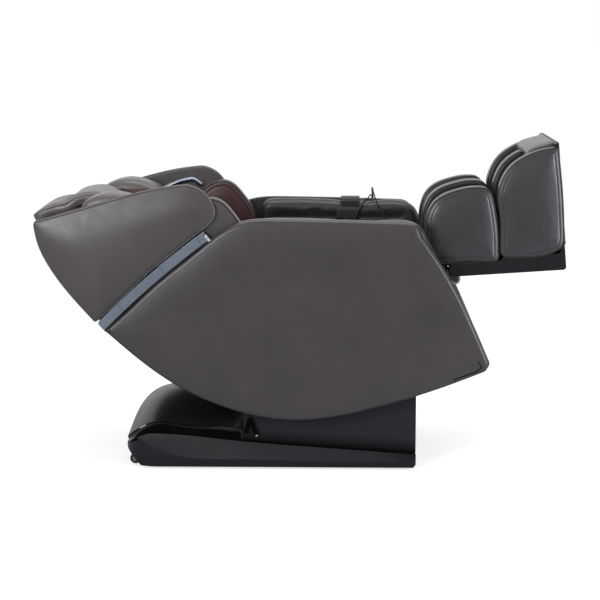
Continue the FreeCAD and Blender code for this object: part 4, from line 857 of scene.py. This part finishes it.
def wing_bars():
    """The bent bright bars on the inner faces of the upper shells."""
    line = bent([(-501, 873), (-452, 894), (-396, 907), (-364, 884)], 4, 9)
    bars = Form()
    for sign in (1, -1):
        bars.tube([(x, sign * (SHELL_INNER - 9), z) for x, z in line], 8.5, 0, False, 16)
    bars.make("wing_bar_pair", [M["bar"]], "capsule", "bright_metal", ["wing_bars"])


lower_shells()
upper_shells()
strip_caps()
wing_bars()


# Upholstery

def arms():
    """The arm pads, creased along their inner faces."""
    ring = outline(
        [(-150, 800), (-140, 826), (-85, 838), (-13, 838), (95, 834), (242, 829), (372, 824), (392, 812),
         (414, 772), (433, 736), (456, 692)],
        [(456, 692), (400, 664), (100, 470), (-120, 392)],
        [(-120, 392), (-160, 560), (-152, 740), (-150, 800)],
        soft=8,
    )
    arm = Cushion(ring, ARM_INNER + 4, ARM_OUTER - 1, upright(), (26, 14), (0, 0), 60, 1.0, notch=(0, 1.5), grid=11,
                  seams=[[(-112, 775), (344, 775)]], seam_side=0, deep=3.0, rough=1.0, firm=(1,), cap=5,
                  grow=0.004, ease=3)
    arm.form.make_sides("arm_cover", [M["arm"]], "capsule", "arm_leather", "arm_pad", 0.8)


def pods():
    """The dark red pods at the elbows."""
    ring = outline(
        [(-400, 790), (-363, 868), (-318, 899), (-275, 905), (-240, 886), (-211, 851), (-184, 815), (-172, 788),
         (-168, 758)],
        [(-168, 758), (-185, 715), (-330, 690)],
        [(-330, 690), (-400, 740), (-400, 790)],
        soft=9,
    )
    pod = Cushion(ring, 272, ARM_OUTER - 1, upright(), (12, 13), (2, 0), 50, 1.0, (8, 0), (1.6, 1.6), 10,
                  marks=(1, 0, 0), firm=(1,), cap=5)
    pod.welt(0, 2, 2.2)
    pod.welt(1, 2, 2.2)
    pod.sew(3)
    pod.form.make_sides("elbow_pod", [M["upper"], M["red"], M["welt"], M["thread"]], "capsule",
                        "pod_leather", "arm_pod", 0.8)


def wings():
    """The air bag pads at the shoulders, dark red towards the sitter."""
    ring = outline(
        [(-714, 866), (-704, 884), (-668, 906), (-626, 917), (-580, 914), (-540, 903), (-500, 882), (-478, 845)],
        [(-478, 845), (-510, 756), (-524, 742), (-650, 846), (-714, 866)],
        soft=9,
    )
    wing = Cushion(ring, 172, 311, upright(), (26, 18), (2, 2), 50, 1.5, notch=(1.2, 1.2), grid=11,
                   rough=0.9, cap=7)
    wing.form.paint(1, lambda x, y, z: y < 200 and z < 885)
    materials = [M["light"], M["red"]]
    wing.form.make_sides("shoulder_cushion", materials, "capsule", "pillow_leather", "shoulder_wing", 0.6)


def back_rest():
    """The quilted back pad."""
    line = bent([back(372, 180), back(1035, 180), (-690, 872), (-775, 843), (-836, 830), (-862, 816)])
    place, length = curve_place(line, -1)
    ring = plan(0, length, -237, 237, 12)
    seams = [[(p, -215), (p, 215)] for p in (210, 400)] + [[(30, q), (length - 150, q)] for q in (-105, 105)]
    pad = Cushion(ring, -28, -6, place, (8, 9), (0, 2), 50, 0.5, (0, 8), (0, 1.2), 12, seams=seams, rough=0.8,
                  firm=(0,), cap=8, grow=0.008, ease=3)
    piece = pad.form.make("back_cushion", [M["seat"]], "capsule", "seat_leather", ["back_pad"])


def pillow():
    """The head pillow over the end of the back pad."""
    line = bent([(-540, 755), (-604, 816), (-652, 862), (-690, 877), (-736, 869), (-775, 847), (-812, 838),
                 (-850, 826), (-884, 806)], 6, 10)
    place, length = curve_place(line, -1)
    ring = plan(0, length, -157, 157, 24)
    seams = [[(length - 105, -140), (length - 105, 140)]]
    pad = Cushion(ring, -8, 26, place, (12, 11), (0, 5), 40, 0.8, (0, 9), (0, 1.0), 10, seams=seams, deep=9,
                  rough=0.8, firm=(0,), cap=9, grow=0.008, ease=3)
    pad.welt(1, 1, 2.0)
    materials = [M["light"], M["pale_welt"]]
    piece = pad.form.make("pillow_cushion", materials, "capsule", "pillow_leather", ["head_pillow"])


def seat_pad():
    """The quilted seat cushion."""
    ring = plan(118, 700, -250, 250, 45)
    seams = [[(430, -225), (430, 225)]] + [[(160, q), (655, q)] for q in (-145, 145)]
    pad = Cushion(ring, 303.9, 382, across(seat), (12, 26), (0, 4), 70, 1.5, (0, 9), (0, 1.6), 12,
                  seams=seams, deep=7, rough=1.0, firm=(0,), cap=12, grow=0.008, ease=3)
    piece = pad.form.make("seat_pad", [M["seat"]], "capsule", "seat_leather", ["seat_cushion"])


def strap_at(share):
    """The pouch's strap over the arm: its place across the arm at a share of its length."""
    line = bent([(301, 839), (285, 838.5), (268, 826), (260, 805), (260, 768)], 2, 5)
    return line[min(int(share * (len(line) - 1)), len(line) - 1)]


def pouch_strap():
    """The skewed strap that lies over the left arm's crest, with the pocket under it."""
    strap = Form()
    rows = []
    for i in range(41):
        y, z = strap_at(i / 40)
        skew = -33 * (i / 40)
        low, high = 148 + skew, 227 + skew
        edge = [low + 2.5 * k for k in range(int((high - low) / 2.5) + 1)]
        rows.append((edge, y, z))
    borders = []
    for lift in (0.0, 2.6):
        ids = [strap.add([(x, y - lift * 0.6, z + lift * 0.8) for x in edge]) for edge, y, z in rows]
        for a, b in zip(ids, ids[1:]):
            strap.band(a, b, 0, False)
        borders.append(ids[0] + [r[-1] for r in ids[1:-1]] + ids[-1][::-1] + [r[0] for r in ids[-2:0:-1]])
    strap.band(borders[1], borders[0], 0)
    rim = [strap.corners[i] for i in borders[1]]
    middle = np.mean(rim, axis=0)
    inner = [tuple(np.array(p) + 5 * (middle - p) / np.linalg.norm(middle - p) + (0, -0.3, 0.4)) for p in rim]
    strap.stitches(inner, 1, 5.0, 3.2, 0.6)
    strap.make("pouch_strap", [M["arm"], M["pale_welt"]], "capsule", "arm_leather")


arms()
pods()
wings()
back_rest()
pillow()
seat_pad()
pouch_strap()


# Leg rest

LEG_SET = ("leg", "welt", "thread")


def welted(wall, name, body, node, sides):
    """Piping and stitches on both edges of a wall, then the wall itself."""
    for edge in (0, 1):
        wall.welt(edge, 1, 2.2)
    wall.sew(2)
    materials = [M[m] for m in LEG_SET]
    if sides:
        wall.form.make_sides(name, materials, body, "leg_leather", node, 0.8)
    else:
        wall.form.make(name, materials, body, "leg_leather", [node])


def calf_ring(up):
    """The outline of a calf wall, its top raised."""
    return outline(
        [(407, 720), (407, 782), (416, 841 + up), (433, 876 + up), (468, 904 + up), (512, 920 + up),
         (560, 930 + up), (603, 930 + up)],
        [(603, 930 + up), (622, 916 + up), (633, 891), (643, 840), (652, 770), (654, 708)],
        [(654, 708), (650, 690), (586, 685), (470, 678), (420, 688)],
        [(420, 688), (407, 720)],
        soft=7,
    )


def calf_unit():
    """The three calf walls."""
    wall = Cushion(calf_ring(3), LEG_HALF - 63, LEG_HALF - 9, upright(), (9, 9), (3, 8), 42, 1.0, (8, 8), cap=5)
    welted(wall, "calf_cushion", "leg_rest", "calf_wall", True)
    wall = Cushion(calf_ring(7), -35, 35, upright(), (9, 9), (2, 2), 45, 1.0, (8, 8), cap=4)
    welted(wall, "calf_cushion_middle", "leg_rest", "calf_wall_middle", False)


def calf_floor():
    """The two pads between the calf walls."""
    ring = plan(-36, 184, 42, 164, 14)
    pad = Cushion(ring, 27.5, 62, across(leg), (8, 12), (0, 2), 40, 0.5, (0, 8), (0, 1.2), firm=(0,), cap=5)
    pads = pad.form
    count = len(pads.corners)
    pads.corners += [(x, -y, z) for x, y, z in pads.corners]
    pads.faces += [tuple(i + count for i in reversed(f)) for f in pads.faces]
    pads.marks += pads.marks
    pads.make("calf_floor_pads", [M["seat"]], "leg_rest", "seat_leather", ["calf_pad"])


FOOT_LEFT = [(655, 712), (655, 770), (650, 851), (643, 905), (654, 952), (684, 1001), (736, 1038)]


def foot_unit():
    """The three foot walls."""
    ring = outline(
        FOOT_LEFT + [(784, 1056), (838, 1065)],
        [(838, 1065), (848, 984), (858, 884), (865, 767)],
        [(865, 767), (858, 737), (834, 720), (700, 701), (672, 701)],
        [(672, 701), (655, 712)],
        soft=7,
    )
    wall = Cushion(ring, LEG_HALF - 55, LEG_HALF - 1, upright(), (9, 8), (3, 7), 45, 1.0, (8, 8), cap=5)
    welted(wall, "foot_cushion", "foot_unit", "foot_wall", True)
    ring = outline(
        FOOT_LEFT,
        [(736, 1038), (760, 1022), (792, 1010), (804, 740), (790, 717), (672, 702)],
        [(672, 702), (655, 712)],
        soft=6,
    )
    wall = Cushion(ring, -32, 32, upright(), (9, 9), (2, 2), 45, 1.0, (8, 8), cap=3)
    welted(wall, "foot_cushion_middle", "foot_unit", "foot_wall_middle", False)


def toe():
    """The pale cover over the toes."""
    ring = outline(
        on(leg, [(298, 352), (300, 376), (342, 394), (391, 405)]),
        on(leg, [(391, 405), (392, 380), (342, 366), (298, 352)]),
        step=3, soft=3,
    )
    pad = Cushion(ring, -172, 172, upright(), (7, 7), (0, 0), 20, 0.5, notch=(0.6, 0.6), grid=6, cap=3)
    piece = pad.form.make("toe_cushion", [M["light"]], "foot_unit", "leg_leather", ["toe_cover"])


def groove_painted_shade():
    """A black sheet of painted shade in the recess under the dome's lip, on both sides."""
    lip = spline([(-563, 86), (-540, 112), (-515, 131), (-485, 144), (-395, 137), (-290, 128), (-196, 119)], 8)
    low = np.interp(lip[:, 0], (-563, -529, -455, -368, -196), (84, 99, 105, 97, 84))
    foot = np.stack([lip[:, 0], low], axis=1)
    groove = Form()
    for sign in (1, -1):
        rows = []
        for line, y in ((lip, 273.2), (0.5 * (lip + foot), 275.0), (foot, 279.0)):
            rows.append(groove.add([(x, sign * y, z) for x, z in line]))
        for a, b in zip(rows, rows[1:]):
            groove.band(a, b, 0, False)
        back_row = groove.add([(x, sign * 271.0, z) for x, z in foot])
        groove.band(rows[-1], back_row, 0, False)
    # The matt black sheet paints the shade in the groove.
    groove.make("groove_painted_shade", [M["bracket_and_shade"]], "base", "base_plastic")


def base_link():
    """A small black bracket with a bright pin between the dome and the tower."""
    link = Form()
    for sign in (1, -1):
        y = sign * 276
        for end in ((-181, 118), (-144, 110)):
            path = np.linspace((-166, y, 168), (end[0], y, end[1]), 6)
            link.tube(path, 7.0, 0, False, 12)
        pin = [(-144, sign * out, 110) for out in (270, 279, 283.5)]
        link.tube(np.array(pin), 3.6, 1, False, 12)
    link.make("base_link", [M["bracket_and_shade"], M["steel"]], "base", "small_plastic")


def wheel_hubs():
    """A pale hub cap on each transport wheel."""
    x, z = -552, 22
    for side, sign in SIDES:
        hub = Form()
        rows = []
        for radius, out in ((9.0, 247.0), (9.0, 249.4), (7.5, 250.2), (3.0, 250.6)):
            ring = [math.radians(15 * k) for k in range(24)]
            rows.append(hub.add([(x + radius * math.cos(a), sign * out, z + radius * math.sin(a)) for a in ring]))
        for a, b in zip(rows, rows[1:]):
            hub.band(a, b, 0)
        hub.face(tuple(rows[0]), 0)
        hub.face(tuple(rows[-1]), 0)
        hub.make("wheel_hub_" + side, [M["key"]], "wheel_" + side[0], "key_plastic")


groove_painted_shade()
base_link()
wheel_hubs()


def sole_piping():
    """A dark red piping round the sole's free edge."""
    edge = [leg(402, 70), leg(399, 200), leg(394.5, 402)]
    up = [(x, -229, z) for x, z in edge]
    down = [(x, 229, z) for x, z in reversed(edge)]
    line = np.array(up + down)
    t = np.r_[0, np.cumsum(np.linalg.norm(np.diff(line, axis=0), axis=1))]
    u = np.arange(0, t[-1], 6.0)
    path = np.stack([np.interp(u, t, line[:, i]) for i in range(3)], axis=1)
    piping = Form()
    piping.tube(path, 2.6, 0, False)
    piping.make("sole_piping", [M["sole_edge"]], "foot_unit", "pod_leather")


calf_unit()
calf_floor()
foot_unit()
toe()
sole_piping()


# Finishes of the pieces that are kept from the model

KEPT = {
    "strip": ["trim_strips"],
    "base": ["base_skirt"],
    "dome": ["rear_dome"],
    "tower": ["tower_cover"],
    "cover": ["back_cover", "front_cover", "foot_shell"],
    "small": ["mains_panel", "power_switch", "remote", "cord_gland"],
    "key": ["power_button", "auto_button", "tilt_button"],
    "paint": ["floor_frame", "seat_frame", "leg_frame", "carriage_frame", "guide_tracks"],
    "steel": ["tilt_shaft", "tilt_rod", "leg_rod", "knead_shaft", "roller_arms", "guide_rods"],
    "motor": ["tilt_motor", "leg_motor", "control_box", "air_pump"],
    "tread": ["upper_rollers", "lower_rollers", "foot_roller_low", "foot_roller_high"],
    "rubber": ["rubber_feet", "wheel_left", "wheel_right"],
    "arm": ["remote_pouch"],
}


def finish_kept():
    """Gives the nodes that stay their materials."""
    for name, nodes in KEPT.items():
        for n in nodes:
            piece = frame["nodes"][n]
            if not piece.material_slots:
                piece.data.materials.append(M[name])
            for slot in piece.material_slots:
                slot.link = "OBJECT"
                slot.material = M[name]


finish_kept()


# Studio

def floor():
    """A pale floor that glows for the camera alone and keeps the chair's shadow."""
    mesh = bpy.data.meshes.new("studio_floor")
    mesh.from_pydata([(-30, -12, 0), (30, -12, 0), (30, 60, 0), (-30, 60, 0)], [], [(0, 1, 2, 3)])
    plane = bpy.data.objects.new("studio_floor", mesh)
    bpy.context.scene.collection.objects.link(plane)
    m = bpy.data.materials.new("studio_floor")
    m.use_nodes = True
    tree = m.node_tree
    shader = tree.nodes["Principled BSDF"]
    shader.inputs["Base Color"].default_value = (0.80, 0.80, 0.80, 1)
    shader.inputs["Roughness"].default_value = 0.9
    shader.inputs["Specular IOR Level"].default_value = 0.1
    path = node(tree, "LightPath")
    glow = node(tree, "Emission", {"Strength": 0.65})
    none = node(tree, "Emission", {"Strength": 0.0})
    mix = node(tree, "MixShader")
    add = node(tree, "AddShader")
    tree.links.new(path.outputs["Is Camera Ray"], mix.inputs[0])
    tree.links.new(none.outputs[0], mix.inputs[1])
    tree.links.new(glow.outputs[0], mix.inputs[2])
    tree.links.new(shader.outputs[0], add.inputs[0])
    tree.links.new(mix.outputs[0], add.inputs[1])
    tree.links.new(add.outputs[0], tree.nodes["Material Output"].inputs["Surface"])
    mesh.materials.append(m)


def world():
    """White to the camera and in reflections, dimmer as a light."""
    w = bpy.data.worlds.new("studio")
    bpy.context.scene.world = w
    w.use_nodes = True
    tree = w.node_tree
    tree.nodes.clear()
    path = node(tree, "LightPath")
    seen = node(tree, "Background", {"Color": (1, 1, 1, 1), "Strength": 1.0})
    lit = node(tree, "Background", {"Color": (0.94, 0.97, 1, 1), "Strength": 0.45})
    one = node(tree, "Math", operation="MAXIMUM")
    two = node(tree, "Math", operation="MAXIMUM")
    mix = node(tree, "MixShader")
    out = node(tree, "OutputWorld")
    tree.links.new(path.outputs["Is Camera Ray"], one.inputs[0])
    tree.links.new(path.outputs["Is Glossy Ray"], one.inputs[1])
    tree.links.new(one.outputs[0], two.inputs[0])
    tree.links.new(path.outputs["Is Transmission Ray"], two.inputs[1])
    tree.links.new(two.outputs[0], mix.inputs[0])
    tree.links.new(lit.outputs[0], mix.inputs[1])
    tree.links.new(seen.outputs[0], mix.inputs[2])
    tree.links.new(mix.outputs[0], out.inputs["Surface"])


def lamp(name, at, towards, size, power, colour=(1, 1, 1)):
    data = bpy.data.lights.new(name, "AREA")
    data.shape = "RECTANGLE"
    data.size, data.size_y = size
    data.energy = power
    data.color = colour
    obj = bpy.data.objects.new(name, data)
    bpy.context.scene.collection.objects.link(obj)
    obj.location = at
    obj.rotation_euler = (Vector(towards) - Vector(at)).to_track_quat("-Z", "Y").to_euler()


bpy.data.scenes.remove(WORKSHOP)
world()
floor()
lamp("top", (0, -0.2, 3.1), (0, 0, 0.5), (2.6, 1.4), 40)
lamp("right", (2.5, -1.9, 0.95), (0.7, -0.2, 0.8), (0.6, 1.7), 44, (0.86, 0.93, 1.0))
lamp("left", (-2.3, -4.4, 1.9), (-0.6, -0.3, 0.8), (1.2, 1.4), 95)

bpy.context.scene.view_settings.view_transform = "Standard"
